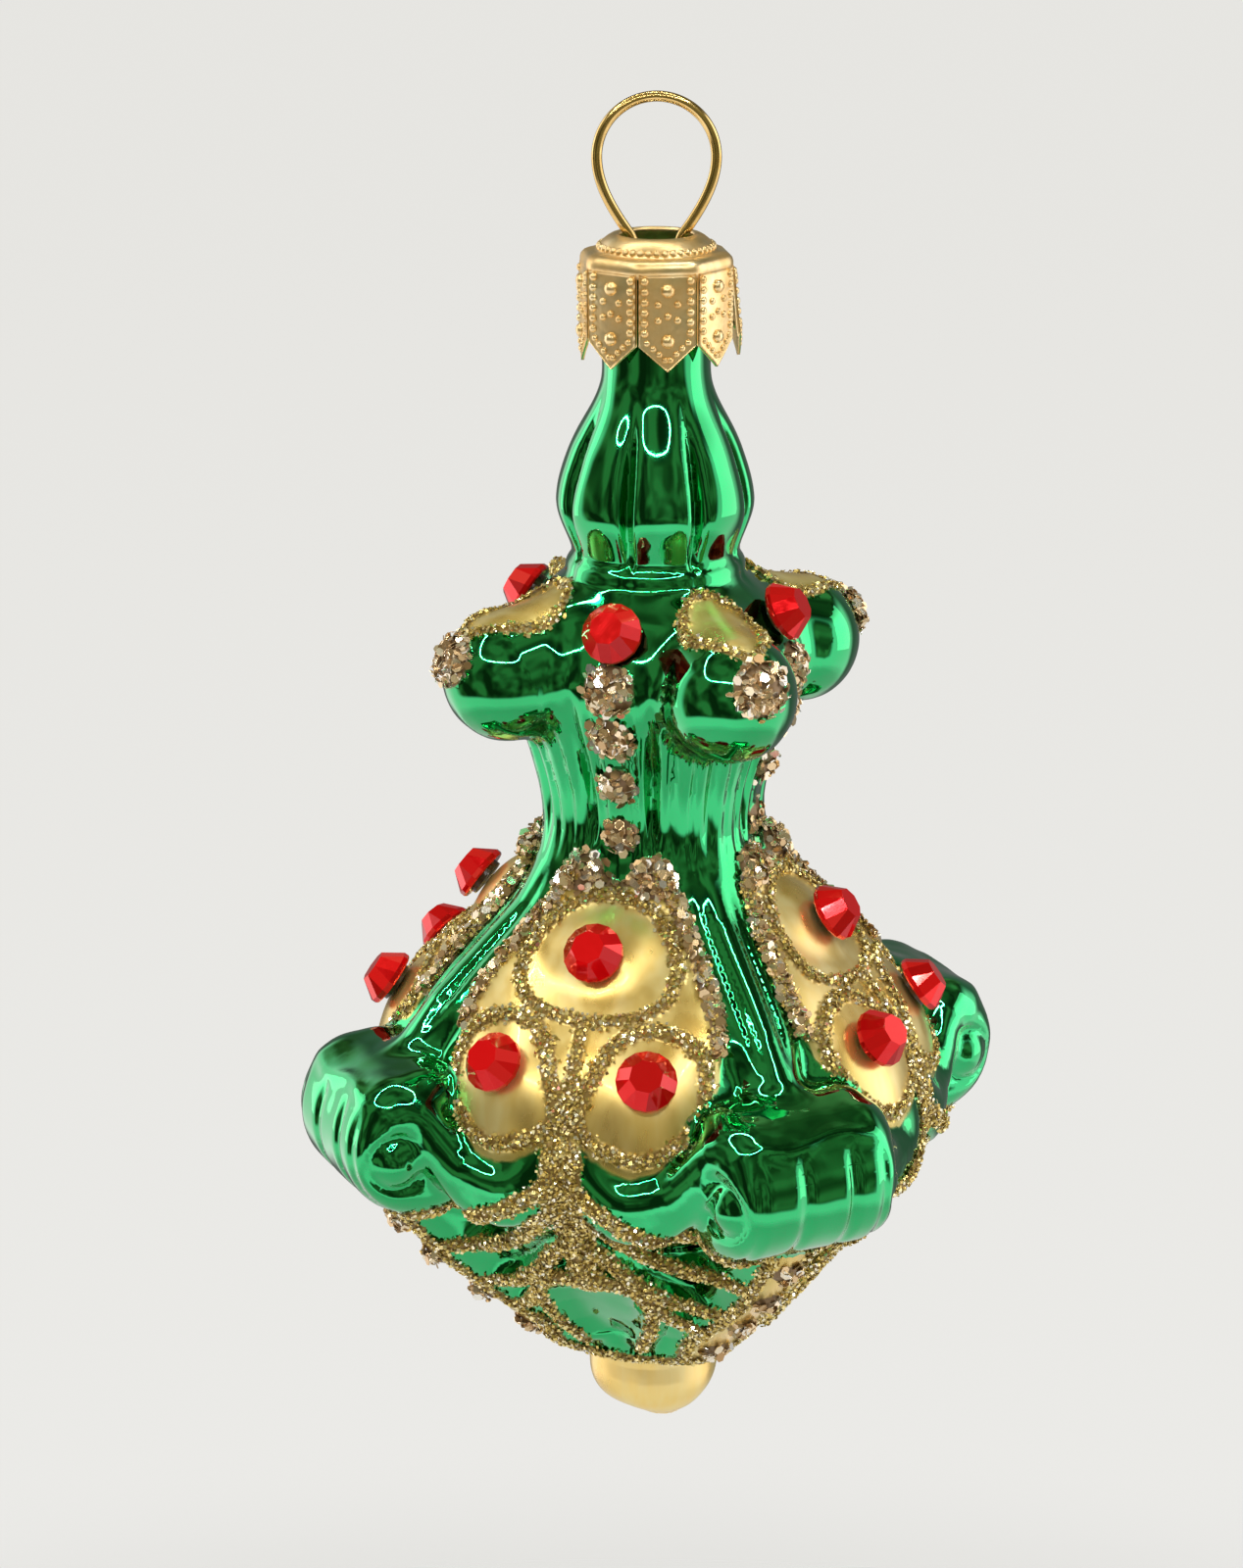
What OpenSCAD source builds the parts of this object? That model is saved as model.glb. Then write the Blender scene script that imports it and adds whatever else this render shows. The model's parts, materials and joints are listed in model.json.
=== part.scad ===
// Lantern ornament: a mould-blown glass lantern with a crown cap and a spring-wire hanger.
// Millimetres, +Z up. A hook bears on the origin, the inner top of the hanger loop.
// A size that ends in _h is a height above the foot of the glass.
// The lantern has four faces, on -Y, +X, +Y and -X, and four corners between them.

/* [Glass wall and neck] */
// Thickness of the blown glass
wall = 0.9; // [0.7:0.1:1.1]
// Outside diameter of the neck
neck_d = 7.1; // [6.6:0.1:8]
// Height of the neck's cut rim
neck_top_h = 80; // [78.6:0.2:84]
// Height where the neck meets the bulb
neck_base_h = 72.4; // [71:0.2:74]

/* [Bulb] */
// Widest diameter of the bulb
bulb_d = 12.4; // [11:0.1:14]
// Height of the widest part of the bulb
bulb_h = 64.5; // [63.6:0.1:65.6]
// Depth of the eight creases down the bulb
bulb_crease = 0.5; // [0:0.1:0.8]
// Diameter of the throat under the bulb
throat_d = 10.6; // [9:0.1:12]
// Height of the throat
throat_h = 60.8; // [60.2:0.1:61.4]

/* [Roof] */
// Diameter of the eave between two lobes
eave_d = 15.8; // [14:0.1:17]
// Height of the eave
eave_h = 57.6; // [57:0.1:58.2]
// Radius of the round end of a corner lobe
lobe_r = 4.3; // [3.6:0.1:4.8]
// Distance of a lobe's end from the axis
lobe_reach = 10.5; // [9.4:0.1:11.6]
// Height of a lobe's end
lobe_h = 53.8; // [52.8:0.1:54.6]
// Radius of a lobe's root
lobe_root_r = 3.7; // [2.2:0.1:4]
// Height of a lobe's root
lobe_root_h = 55.5; // [55:0.1:57]

/* [Column] */
// Diameter at the top of the column
column_d = 19; // [17:0.1:21]
// Height of the top of the column
column_h = 53.6; // [52:0.1:54.6]
// Diameter at the waist of the column
waist_d = 14.2; // [13:0.1:16]
// Height of the waist
waist_h = 42; // [41:0.1:43]
// Depth of the grooves beside each face panel
column_groove = 0.45; // [0:0.05:0.7]
// Squareness of the column and bell: 0 is round
squareness = 1; // [0:0.1:1.3]

/* [Bell and petals] */
// Diameter halfway down the bell
skirt_d = 31; // [29:0.1:33]
// Height halfway down the bell
skirt_h = 30.9; // [30:0.1:32]
// Diameter at the bell's rim
rim_d = 35.4; // [33:0.1:38]
// Height of the bell's rim
rim_h = 24.6; // [23.6:0.1:25.6]
// Radius of the ridge down each corner of the bell
ridge_r = 2; // [1.4:0.1:2.4]
// Height of a petal's middle
petal_h = 33; // [32.2:0.1:33.8]
// Radius of a petal's top dome
top_dome_r = 4.1; // [3.4:0.1:4.6]
// Radius of a petal's two lower domes
low_dome_r = 4.8; // [4:0.1:5.2]
// Swell of the domes above the bell
dome_swell = 1.4; // [0.8:0.1:1.8]
// Rise of a petal's sheet above the bell
petal_rise = 0.55; // [0:0.05:0.8]
// Rise of the two ears on a petal's top edge
ear_rise = 0.6; // [0:0.05:0.9]
// Radius of the wave that runs under a petal into the scroll
wave_r = 1.35; // [0.9:0.05:1.6]

/* [Scrolls] */
// Radius of a corner scroll
scroll_r = 5.1; // [4.4:0.1:5.6]
// Distance of a scroll's middle from the axis
scroll_reach = 18.9; // [17.5:0.1:20.5]
// Height of a scroll's middle
scroll_h = 24.7; // [23.8:0.1:25.6]
// Width of a scroll
scroll_w = 12; // [10:0.1:13]
// Rounding of a scroll's edges
scroll_edge = 2.2; // [1.4:0.1:3]

/* [Bowl and foot] */
// Diameter halfway down the bowl
bowl_d = 29.2; // [27:0.1:31]
// Height halfway down the bowl
bowl_h = 16; // [15:0.1:17]
// Diameter low on the bowl
keel_d = 16.2; // [15:0.1:18]
// Height low on the bowl
keel_h = 7.6; // [7.2:0.1:8.2]
// Diameter of the foot
foot_d = 9; // [8:0.1:10]
// Height of the foot
foot_h = 5.1; // [4.4:0.1:5.6]
// Rounding of the foot's lower edge
foot_edge = 3; // [1:0.1:3.4]
// Radius of the rib under each scroll
rib_r = 2.6; // [2:0.1:3]

/* [Rhinestones] */
// Diameter of a rhinestone
stone_d = 3.9; // [3:0.1:4.6]
// Height of a rhinestone above its back
stone_t = 1.7; // [1:0.1:2.2]
// Diameter of the glue pad behind a rhinestone
pad_d = 2.6; // [1.6:0.1:3]
// Thickness of the glue pad
pad_t = 0.35; // [0.2:0.05:0.6]

/* [Glitter] */
// Width of a glitter bead
bead_w = 1.3; // [0.8:0.1:1.6]
// Thickness of a glitter bead
bead_t = 0.45; // [0.3:0.05:0.8]
// Gap that the adhesive fills under the glitter
bond_gap = 0.3; // [0.26:0.02:0.4]
// Diameter of the largest glitter dab on a column face
dab_d = 3; // [2:0.1:3.4]
// Thickness of a glitter dab
dab_t = 0.9; // [0.5:0.05:1.2]

/* [Crown cap] */
// Clearance between the neck and the cap's tabs
cap_gap = 0.85; // [0.3:0.05:1.1]
// Thickness of the cap's sheet
sheet_t = 0.25; // [0.15:0.05:0.4]
// Depth of the cap's closed band above the slits
band_w = 1.1; // [0.6:0.1:2]
// Length of a tab from the cap's top to its point
tab_l = 6.9; // [5:0.1:8]
// Length of a tab's point
tab_point = 1.6; // [0.8:0.1:2.4]
// Width of the slits between the tabs
slit_w = 0.3; // [0.15:0.05:0.6]
// Lean of the tab that was bent outward
bent_tab = 6; // [0:1:14]
// Height of the collar round the hanger hole
collar_w = 1.1; // [0.6:0.1:1.6]
// Diameter of the hanger hole
hole_d = 4.7; // [4.4:0.1:5]

/* [Hanger] */
// Diameter of the spring wire
wire_d = 0.68; // [0.5:0.02:0.8]
// Inside diameter of the loop
loop_d = 6.8; // [6.2:0.1:7.6]
// Lean of the wire between the loop and the hole
loop_lean = 28; // [25:1:32]
// Distance between the wires in the hole
pinch = 2.9; // [2.4:0.1:3.1]
// Length of a leg below the hole
leg_l = 11; // [8:0.5:13]
// Clearance between the legs and the neck's bore
leg_gap = 0.1; // [0.05:0.05:0.3]
// Turn of the loop from the X axis
hanger_turn = 19; // [-45:1:45]

/* [Hidden] */
$fn = 48;
face_name = ["front", "right", "back", "left"];

// The loop, from its inner top at the origin down to the pinch in the cap's hole
loop_r = (loop_d + wire_d) / 2;
bend_r = 1.5;
lean_l = (loop_r * cos(loop_lean) - pinch / 2 - bend_r * (1 - cos(loop_lean))) / sin(loop_lean);
pinch_z = -loop_d / 2 - loop_r * sin(loop_lean) - lean_l * cos(loop_lean) - bend_r * sin(loop_lean);

// The cap's plate is just under the pinch, and the neck's rim bears on the plate
seat_gap = 0.05;
plate_z = pinch_z - 0.2;
foot_z = plate_z - sheet_t - seat_gap - neck_top_h;

// Half-outline of the blown form between its lobes, from the foot to the neck
core = [
    [foot_h - 1.6, foot_d / 2 - 2],
    [foot_h, foot_d / 2],
    [keel_h, keel_d / 2],
    [bowl_h, bowl_d / 2],
    [rim_h, rim_d / 2],
    [skirt_h, skirt_d / 2],
    [waist_h, waist_d / 2],
    [column_h, column_d / 2],
    [eave_h, eave_d / 2],
    [throat_h, throat_d / 2],
    [bulb_h, bulb_d / 2],
    [neck_base_h, neck_d / 2],
    [neck_top_h + 2, neck_d / 2]
];
core_n = len(core);

function chord(i) = (core[i + 1][1] - core[i][1]) / (core[i + 1][0] - core[i][0]);
function station_slope(i) =
    i == 0 || i == core_n - 1 ? 0
    : chord(i - 1) * chord(i) <= 0 ? 0
    : 2 * chord(i - 1) * chord(i) / (chord(i - 1) + chord(i));
core_slope = [for (i = [0:core_n - 1]) station_slope(i)];

// Radius of the half-outline at a height, as a smooth curve that does not overshoot its stations
function station(h) = max(0, min(core_n - 2, len([for (s = core) if (s[0] <= h) 1]) - 1));
function core_r(h) =
    let (i = station(h))
    let (w = core[i + 1][0] - core[i][0])
    let (t = max(0, min(1, (h - core[i][0]) / w)))
    core[i][1] * (1 + 2 * t) * (1 - t) * (1 - t)
    + core[i + 1][1] * (3 - 2 * t) * t * t
    + w * core_slope[i] * t * (1 - t) * (1 - t)
    + w * core_slope[i + 1] * t * t * (t - 1);
function core_lean(h) = (core_r(h + 0.1) - core_r(h - 0.1)) / 0.2;

// Fades from 1 at mid to 0 at the two ends of a band
function fade(h, low, high) =
    let (t = max(0, min(1, (h - low) / (high - low))))
    16 * t * t * (1 - t) * (1 - t);
function unit(v) = v / norm(v);
function mix(a, b, t) = a + (b - a) * t;

// Two distances joined with a fillet k wide
function blend(a, b, k) =
    let (t = max(k - abs(a - b), 0) / k)
    min(a, b) - t * t * k / 4;

// Distance from q to a rod from a to b whose radius runs from ra to rb
function rod(q, a, b, ra, rb) =
    let (t = max(0, min(1, (q - a) * (b - a) / ((b - a) * (b - a)))))
    norm(q - mix(a, b, t)) - mix(ra, rb, t);

// Distance from a solid bounded by two faces, a and b inside their rounded meeting edge
function edged(a, b, edge) = min(max(a, b), 0) + norm([max(a, 0), max(b, 0)]) - edge;

// A petal is drawn on the unrolled bell: s along the face, t up the slope from its middle
petal_tilt = atan(-core_lean(petal_h));
top_dome_t = top_dome_r + 0.8;
low_dome_t = -low_dome_r + 1.5;
low_dome_s = low_dome_r + 0.2;
function petal_height(t) = petal_h + t * cos(petal_tilt);
function petal_turn(s, t) = s / (core_r(petal_height(t)) + dome_swell) * 180 / PI;

// Ball whose cap, r wide and dome_swell high, stands on the bell at s, t: its middle and radius
function dome_ball_r(r) = (r * r + dome_swell * dome_swell) / (2 * dome_swell);
function dome_mid(s, t, r) =
    let (h = petal_height(t))
    let (a = petal_turn(s, t))
    let (sink = dome_ball_r(r) - dome_swell)
    let (c = core_r(h) - sink * cos(petal_tilt))
    [c * cos(a), c * sin(a), h - sink * sin(petal_tilt)];
top_ball = dome_mid(0, top_dome_t, top_dome_r);
low_ball = dome_mid(low_dome_s, low_dome_t, low_dome_r);

// Petal's ears, its half-width at the low domes, and the outward direction of its slanting side
ear = [0.66 * top_dome_r, top_dome_t + top_dome_r + 0.6];
petal_hip = [low_dome_s + low_dome_r + 0.4, low_dome_t];
petal_side = unit([ear[1] - petal_hip[1], petal_hip[0] - ear[0] - 1]);

// Distance from the edge of the petal's sheet at s, t, minus inside
function petal_edge(s, t) =
    let (shield = max(
        ([s, t] - petal_hip) * petal_side,
        t - ear[1] - 0.8,
        low_dome_t - t
    ))
    min(shield, norm([s - low_dome_s, t - low_dome_t]) - low_dome_r - 0.4);

// Height that the petal's sheet and ears add to the bell at a turn and height
function petal_relief(turn, h) =
    let (t = (h - petal_h) / cos(petal_tilt))
    let (s = turn * PI / 180 * (core_r(h) + dome_swell))
    let (k = max(0, min(1, 0.5 - petal_edge(s, t) / 0.8)))
    petal_rise * k * k * (3 - 2 * k)
    + ear_rise * exp(-pow(norm([s, t] - ear) / 1.4, 2));

// Wave from the stem under a petal up into a scroll: each point's turn, distance from the axis and height
wave_stops = [
    [5, rim_d / 2 - 0.6, rim_h + 0.5],
    [13.3, rim_d / 2 - 0.1, rim_h - 0.9],
    [23, rim_d / 2 + 0.3, rim_h + 0.2],
    [31.5, scroll_reach + 1.3, scroll_h + 3.2]
];
wave_path = [for (w = wave_stops) [w[1] * cos(w[0]), w[1] * sin(w[0]), w[2]]];

// Ridge down a corner of the bell, as distance from the axis and height
ridge_path = [
    [waist_d / 2 - ridge_r, waist_h - 0.6],
    [waist_d / 2 + 3 - ridge_r, waist_h - 5],
    [skirt_d / 2 + 1.2 - ridge_r, skirt_h + 0.6],
    [scroll_reach - 1, scroll_h + scroll_r - ridge_r]
];

// Rib down a corner of the bowl, from inside the scroll to the foot
rib_path = [
    [scroll_reach - 1.3, scroll_h - scroll_r + 0.6],
    [bowl_d / 2 - 0.4, bowl_h - 0.1],
    [keel_d / 2 + 2.1, keel_h + 4.8],
    [foot_d / 2 + 1, foot_h + 3.6]
];

// Distance from q to rods of radius r along a path in the corner's upright plane
function rod_chain(q, path, r) =
    min([
        for (i = [0:len(path) - 2])
            rod(q, [path[i][0], 0, path[i][1]], [path[i + 1][0], 0, path[i + 1][1]], r, r)
    ]);

// Distance from the blown form's skin, minus inside. Point x, y with height h.
function mould(x, y, h) =
    let (u = max(abs(x), abs(y)))
    let (v = min(abs(x), abs(y)))
    let (r = norm([x, y]))
    let (turn = atan2(v, u))
    let (face_pt = [u, v, h])
    let (corner_pt = [(u + v) / sqrt(2), (u - v) / sqrt(2), h])
    let (crease = bulb_crease * fade(h, throat_h, neck_base_h) * pow(1 - abs(sin(4 * turn)), 2))
    let (groove = column_groove * fade(h, waist_h - 1, column_h) * exp(-pow((turn - 17) / 3.5, 2)))
    let (corner_out = pow(pow(cos(turn), 3) + pow(sin(turn), 3), -1 / 3) - 1)
    let (square = squareness * fade(h, skirt_h - 3, eave_h) * corner_out)
    let (plain = (r - core_r(h) * (1 + square) + crease + groove) / norm([1, core_lean(h)]))
    let (body = plain - (h > rim_h - 3 && h < waist_h + 3 ? petal_relief(turn, h) : 0))
    let (foot_side = r - foot_d / 2 + foot_edge)
    let (foot_low = foot_edge - h)
    let (foot = edged(foot_side, foot_low, foot_edge))
    let (foot_cut = max(foot, h - foot_h - 2))
    let (lobe = rod(corner_pt, [5, 0, lobe_root_h], [lobe_reach, 0, lobe_h], lobe_root_r, lobe_r))
    let (ridge = rod_chain(corner_pt, ridge_path, ridge_r))
    let (rib = rod_chain(corner_pt, rib_path, rib_r))
    let (drum = norm([corner_pt[0] - scroll_reach, h - scroll_h]) - scroll_r + scroll_edge)
    let (flank = corner_pt[1] - scroll_w / 2 + scroll_edge)
    let (scroll = edged(drum, flank, scroll_edge))
    let (top_dome = norm(face_pt - top_ball) - dome_ball_r(top_dome_r))
    let (low_dome = norm(face_pt - low_ball) - dome_ball_r(low_dome_r))
    let (wave = min([
        for (i = [0:len(wave_path) - 2]) rod(face_pt, wave_path[i], wave_path[i + 1], wave_r, wave_r)
    ]))
    let (bell = blend(blend(blend(body, ridge, 1.6), rib, 1.6), scroll, 1))
    let (petals = blend(blend(bell, min(top_dome, low_dome), 0.5), wave, 0.7))
    blend(blend(petals, lobe, 1.4), foot_cut, 0.4);

// Radius of the skin at a turn and height, walking in from outside; sink moves it into the glass
function walk_in(a, h, sink, r, n) =
    n == 0 ? r
    : walk_in(a, h, sink, max(0.1, r - 0.85 * (mould(r * cos(a), r * sin(a), h) + sink)), n - 1);
function skin_r(a, h, sink = 0) = walk_in(a, h, sink, 30, 48);
function skin_point(a, h) =
    let (r = skin_r(a, h))
    [r * cos(a), r * sin(a), h];

// Height of the roof's skin over a point, walking down from above the bulb's throat
function walk_down(x, y, h, n) =
    n == 0 ? h
    : walk_down(x, y, h - 0.85 * mould(x, y, h), n - 1);
function roof_point(x, y) = [x, y, walk_down(x, y, throat_h + 3, 40)];

// Outward direction of the skin at a point
function skin_normal(q) =
    let (e = 0.05)
    let (m = mould(q[0], q[1], q[2]))
    unit([
        mould(q[0] + e, q[1], q[2]) - m,
        mould(q[0], q[1] + e, q[2]) - m,
        mould(q[0], q[1], q[2] + e) - m
    ]);

// Nearest point of the skin to a point close to it
function snap(q, n = 3) = n == 0 ? q : snap(q - skin_normal(q) * mould(q[0], q[1], q[2]), n - 1);

// Stands its children on the skin at q, their +Z along the skin's outward direction
module on_skin(q, lift = 0) {
    n = skin_normal(q);
    translate([0, 0, foot_z])
        translate(q + n * lift)
            rotate([0, acos(n[2]), atan2(n[1], n[0])])
                children();
}

// Width of the dab over a lobe's tip, its rise as a share of the lobe's radius, and the gap round it
roof_dab_d = 1.2 * dab_d;
roof_dab_rise = 0.35;
trim_gap = 0.15;

// Turn of face or corner number i
function face_turn(i) = i * 90 - 90;
function corner_turn(i) = i * 90 - 45;

// Places of the three stones on a petal and of the stone under an eave
function top_seat(i) = skin_point(face_turn(i), petal_height(top_dome_t) + 0.4);
function low_seat(i, side) =
    skin_point(face_turn(i) + side * petal_turn(low_dome_s, low_dome_t), petal_height(low_dome_t) + 0.3);
function eave_seat(i) = skin_point(face_turn(i), eave_h - 0.4);
function seats(i) = [eave_seat(i), top_seat(i), low_seat(i, -1), low_seat(i, 1)];

// One blown shell, open at the neck, with a skin of points outside and a coarser one inside
module glass_body() {
    eighth = [0, 6, 11.5, 16, 20, 23.5, 26.5, 29, 31.5, 34.5, 39, 45];
    eighth_n = len(eighth) - 1;
    turns = 8 * eighth_n;
    inner_turns = turns / 2;
    stops = [
        [foot_h + 0.5, 0],
        [scroll_h - scroll_r - 0.4, 7],
        [scroll_h - 0.6 * scroll_r, 3],
        [scroll_h + 0.6 * scroll_r, 4],
        [scroll_h + scroll_r + 0.4, 3],
        [waist_h - 3, 6],
        [lobe_h - lobe_r - 0.4, 5],
        [lobe_h - 0.5 * lobe_r, 3],
        [lobe_h + 0.5 * lobe_r, 3],
        [throat_h, 5],
        [min(neck_base_h, neck_top_h - 0.4), 6],
        [neck_top_h, 1]
    ];
    low = [0, 0.12 * foot_edge, 0.45 * foot_edge, foot_edge, foot_h - 0.4, foot_h + 0.5];
    levels = concat(low, [
        for (k = [1:len(stops) - 1]) for (i = [1:stops[k][1]])
            mix(stops[k - 1][0], stops[k][0], i / stops[k][1])
    ]);
    inner_levels = concat([wall + 0.3, foot_h - 0.6], [
        for (k = [1:len(stops) - 1]) for (i = [1:ceil(stops[k][1] / 2)])
            mix(stops[k - 1][0], stops[k][0], i / ceil(stops[k][1] / 2))
    ]);
    n = len(levels);
    m = len(inner_levels);
    skin = [for (h = levels) [for (a = eighth) skin_r(a, max(h, 0.02))]];
    inner_skin = [for (h = inner_levels) [for (a = eighth) skin_r(a, h, wall)]];
    // Place of turn i in the eighth, and the turn itself
    function fold(i) = min(i % (2 * eighth_n), 2 * eighth_n - i % (2 * eighth_n));
    function turn(i) =
        90 * floor(i / (2 * eighth_n))
        + (i % (2 * eighth_n) <= eighth_n ? eighth[fold(i)] : 90 - eighth[fold(i)]);
    outer_pts = [
        for (j = [0:n - 1]) for (i = [0:turns - 1])
            [skin[j][fold(i)] * cos(turn(i)), skin[j][fold(i)] * sin(turn(i)), levels[j]]
    ];
    inner_pts = [
        for (j = [0:m - 1]) for (i = [0:2:turns - 1])
            [inner_skin[j][fold(i)] * cos(turn(i)), inner_skin[j][fold(i)] * sin(turn(i)), inner_levels[j]]
    ];
    base = n * turns;
    foot_mid = base + m * inner_turns;
    floor_mid = foot_mid + 1;
    points = concat(outer_pts, inner_pts, [[0, 0, 0], [0, 0, inner_levels[0]]]);
    function at(j, i) = j * turns + i % turns;
    function in(j, i) = base + j * inner_turns + i % inner_turns;
    // Four-cornered patch of skin as two triangles, split the other way on the mirrored half of a face
    function patch(a, b, c, d, plain) = plain ? [[a, b, c], [a, c, d]] : [[a, b, d], [d, b, c]];
    function rising(i) = i % (2 * eighth_n) < eighth_n;
    outer_faces = [
        for (j = [0:n - 2]) for (i = [0:turns - 1])
            each patch(at(j, i), at(j + 1, i), at(j + 1, i + 1), at(j, i + 1), rising(i))
    ];
    inner_faces = [
        for (j = [0:m - 2]) for (i = [0:inner_turns - 1])
            each patch(in(j, i), in(j, i + 1), in(j + 1, i + 1), in(j + 1, i), rising(2 * i))
    ];
    foot_faces = [for (i = [0:turns - 1]) [foot_mid, at(0, i), at(0, i + 1)]];
    floor_faces = [for (i = [0:inner_turns - 1]) [floor_mid, in(0, i + 1), in(0, i)]];
    rim_faces = [
        for (i = [0:inner_turns - 1]) for (third = [0:2])
            third == 0 ? [at(n - 1, 2 * i), in(m - 1, i), at(n - 1, 2 * i + 1)]
            : third == 1 ? [at(n - 1, 2 * i + 1), in(m - 1, i), in(m - 1, i + 1)]
            : [at(n - 1, 2 * i + 1), in(m - 1, i + 1), at(n - 1, 2 * i + 2)]
    ];
    color("seagreen")
        translate([0, 0, foot_z])
            polyhedron(points, concat(outer_faces, inner_faces, foot_faces, floor_faces, rim_faces));
}

// Pressed sheet cap: a collared octagon plate with a closed band and eight pointed tabs
module crown_cap() {
    // The tabs clear the widest glass that they cover
    tab_in = max([for (k = [0:8]) core_r(neck_top_h - k * tab_l / 8)]) + cap_gap;
    corner = 1 / cos(22.5);
    tab_w = 2 * tab_in * tan(22.5) - slit_w;
    collar_d = hole_d + 1.2;
    collar_foot = collar_d + 1.6;
    color("gold")
        translate([0, 0, plate_z])
            rotate([0, 0, hanger_turn + 8]) {
                difference() {
                    translate([0, 0, -band_w])
                        rotate([0, 0, 22.5])
                            cylinder(r = (tab_in + sheet_t) * corner, h = band_w, $fn = 8);
                    translate([0, 0, -band_w - 1])
                        rotate([0, 0, 22.5])
                            cylinder(r = tab_in * corner, h = band_w + 1 - sheet_t, $fn = 8);
                    translate([0, 0, -band_w])
                        cylinder(d = collar_d - 2 * sheet_t, h = band_w + 1);
                }
                rotate_extrude()
                    polygon([
                        [collar_d / 2 - sheet_t, -sheet_t],
                        [collar_foot / 2, -sheet_t],
                        [collar_foot / 2, 0.15 * collar_w],
                        [collar_d / 2, 0.9 * collar_w],
                        [collar_d / 2 - 0.3, collar_w],
                        [hole_d / 2, collar_w],
                        [hole_d / 2, collar_w - sheet_t],
                        [collar_d / 2 - sheet_t, collar_w - sheet_t]
                    ]);
                for (i = [0:7])
                    rotate([0, 0, i * 45])
                        translate([tab_in, 0, -band_w + 0.2])
                            rotate([0, i == 0 ? -bent_tab : 0, 0])
                                rotate([90, 0, 90])
                                    linear_extrude(sheet_t)
                                        polygon([
                                            [-tab_w / 2, 0],
                                            [-tab_w / 2, band_w + tab_point - tab_l],
                                            [0, band_w - tab_l],
                                            [tab_w / 2, band_w + tab_point - tab_l],
                                            [tab_w / 2, 0]
                                        ]);
            }
}

// Spring wire: a round loop, a pinch through the cap's hole and two legs against the neck's bore.
// A ball a hair wider than the wire joins each arc to the straight after it.
module hanger_wire() {
    leg_end = neck_d / 2 - wall - wire_d / 2 - leg_gap;
    leg_lean = asin((leg_end - pinch / 2) / leg_l);
    ball_d = 1.04 * wire_d;
    joint_gap = 0.04;
    loop_trim = joint_gap / loop_r * 180 / PI;
    bend_trim = joint_gap / bend_r * 180 / PI;
    color("goldenrod")
        rotate([0, 0, hanger_turn]) {
            translate([0, 0, -loop_d / 2])
                rotate([90, loop_lean - loop_trim, 0])
                    rotate_extrude(angle = 180 + 2 * (loop_lean - loop_trim))
                        translate([loop_r, 0])
                            circle(d = wire_d);
            for (side = [0, 1])
                mirror([side, 0, 0]) {
                    translate([loop_r * cos(loop_lean), 0, -loop_d / 2 - loop_r * sin(loop_lean)])
                        rotate([0, 180 + loop_lean, 0]) {
                            sphere(d = ball_d);
                            translate([0, 0, joint_gap])
                                cylinder(d = wire_d, h = lean_l - 2 * joint_gap);
                            translate([0, 0, lean_l])
                                sphere(d = ball_d);
                        }
                    translate([pinch / 2 + bend_r, 0, pinch_z])
                        rotate([90, 180 + loop_lean - bend_trim, 0])
                            rotate_extrude(angle = loop_lean + leg_lean - 2 * bend_trim)
                                translate([bend_r, 0])
                                    circle(d = wire_d);
                    translate([
                        pinch / 2 + bend_r * (1 - cos(leg_lean)),
                        0,
                        pinch_z - bend_r * sin(leg_lean)
                    ])
                        rotate([0, 180 - leg_lean, 0]) {
                            sphere(d = ball_d);
                            translate([0, 0, joint_gap])
                                cylinder(d = wire_d, h = leg_l - joint_gap);
                            translate([0, 0, leg_l])
                                sphere(d = ball_d);
                        }
                }
        }
}

// Flat-backed rhinestone: a round girdle under an eight-sided crown and table
module rhinestone(q) {
    girdle = 0.3 * stone_t;
    color("crimson")
        on_skin(q, pad_t) {
            cylinder(d = stone_d, h = girdle);
            translate([0, 0, girdle])
                cylinder(d1 = stone_d, d2 = 0.55 * stone_d, h = stone_t - girdle, $fn = 8);
        }
}

// Clear glue between each rhinestone and the glass
module glue_pads() {
    color("dimgray")
        for (i = [0:3])
            for (q = seats(i))
                on_skin(q, 0.02)
                    cylinder(d = pad_d, h = pad_t - 0.02);
}

// Rise that a flat disc at q, d wide, needs for its rim to clear the skin by rim_gap where the form hollows.
// The skin leans under the rim, so the rise is taken a little larger than the shortfall.
rim_gap = 0.05;
rim_lean = 1.3;
function rim_rise(q, d) =
    let (n = skin_normal(q))
    let (side = unit([-n[1], n[0], 0]))
    let (up = cross(n, side))
    max(0, max([
        for (a = [0:20:340])
            let (p = q + n * bond_gap + (side * cos(a) + up * sin(a)) * d / 2)
            rim_lean * (rim_gap - mould(p[0], p[1], p[2]))
    ]));

// Low dome of bronze glitter, d wide
module dab(q, d, t) {
    ball_r = (d * d / 4 + t * t) / (2 * t);
    color("tan")
        on_skin(q, bond_gap + rim_rise(q, d))
            intersection() {
                translate([0, 0, t - ball_r])
                    sphere(r = ball_r);
                cylinder(d = 2 * d, h = 2 * t);
            }
}

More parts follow.
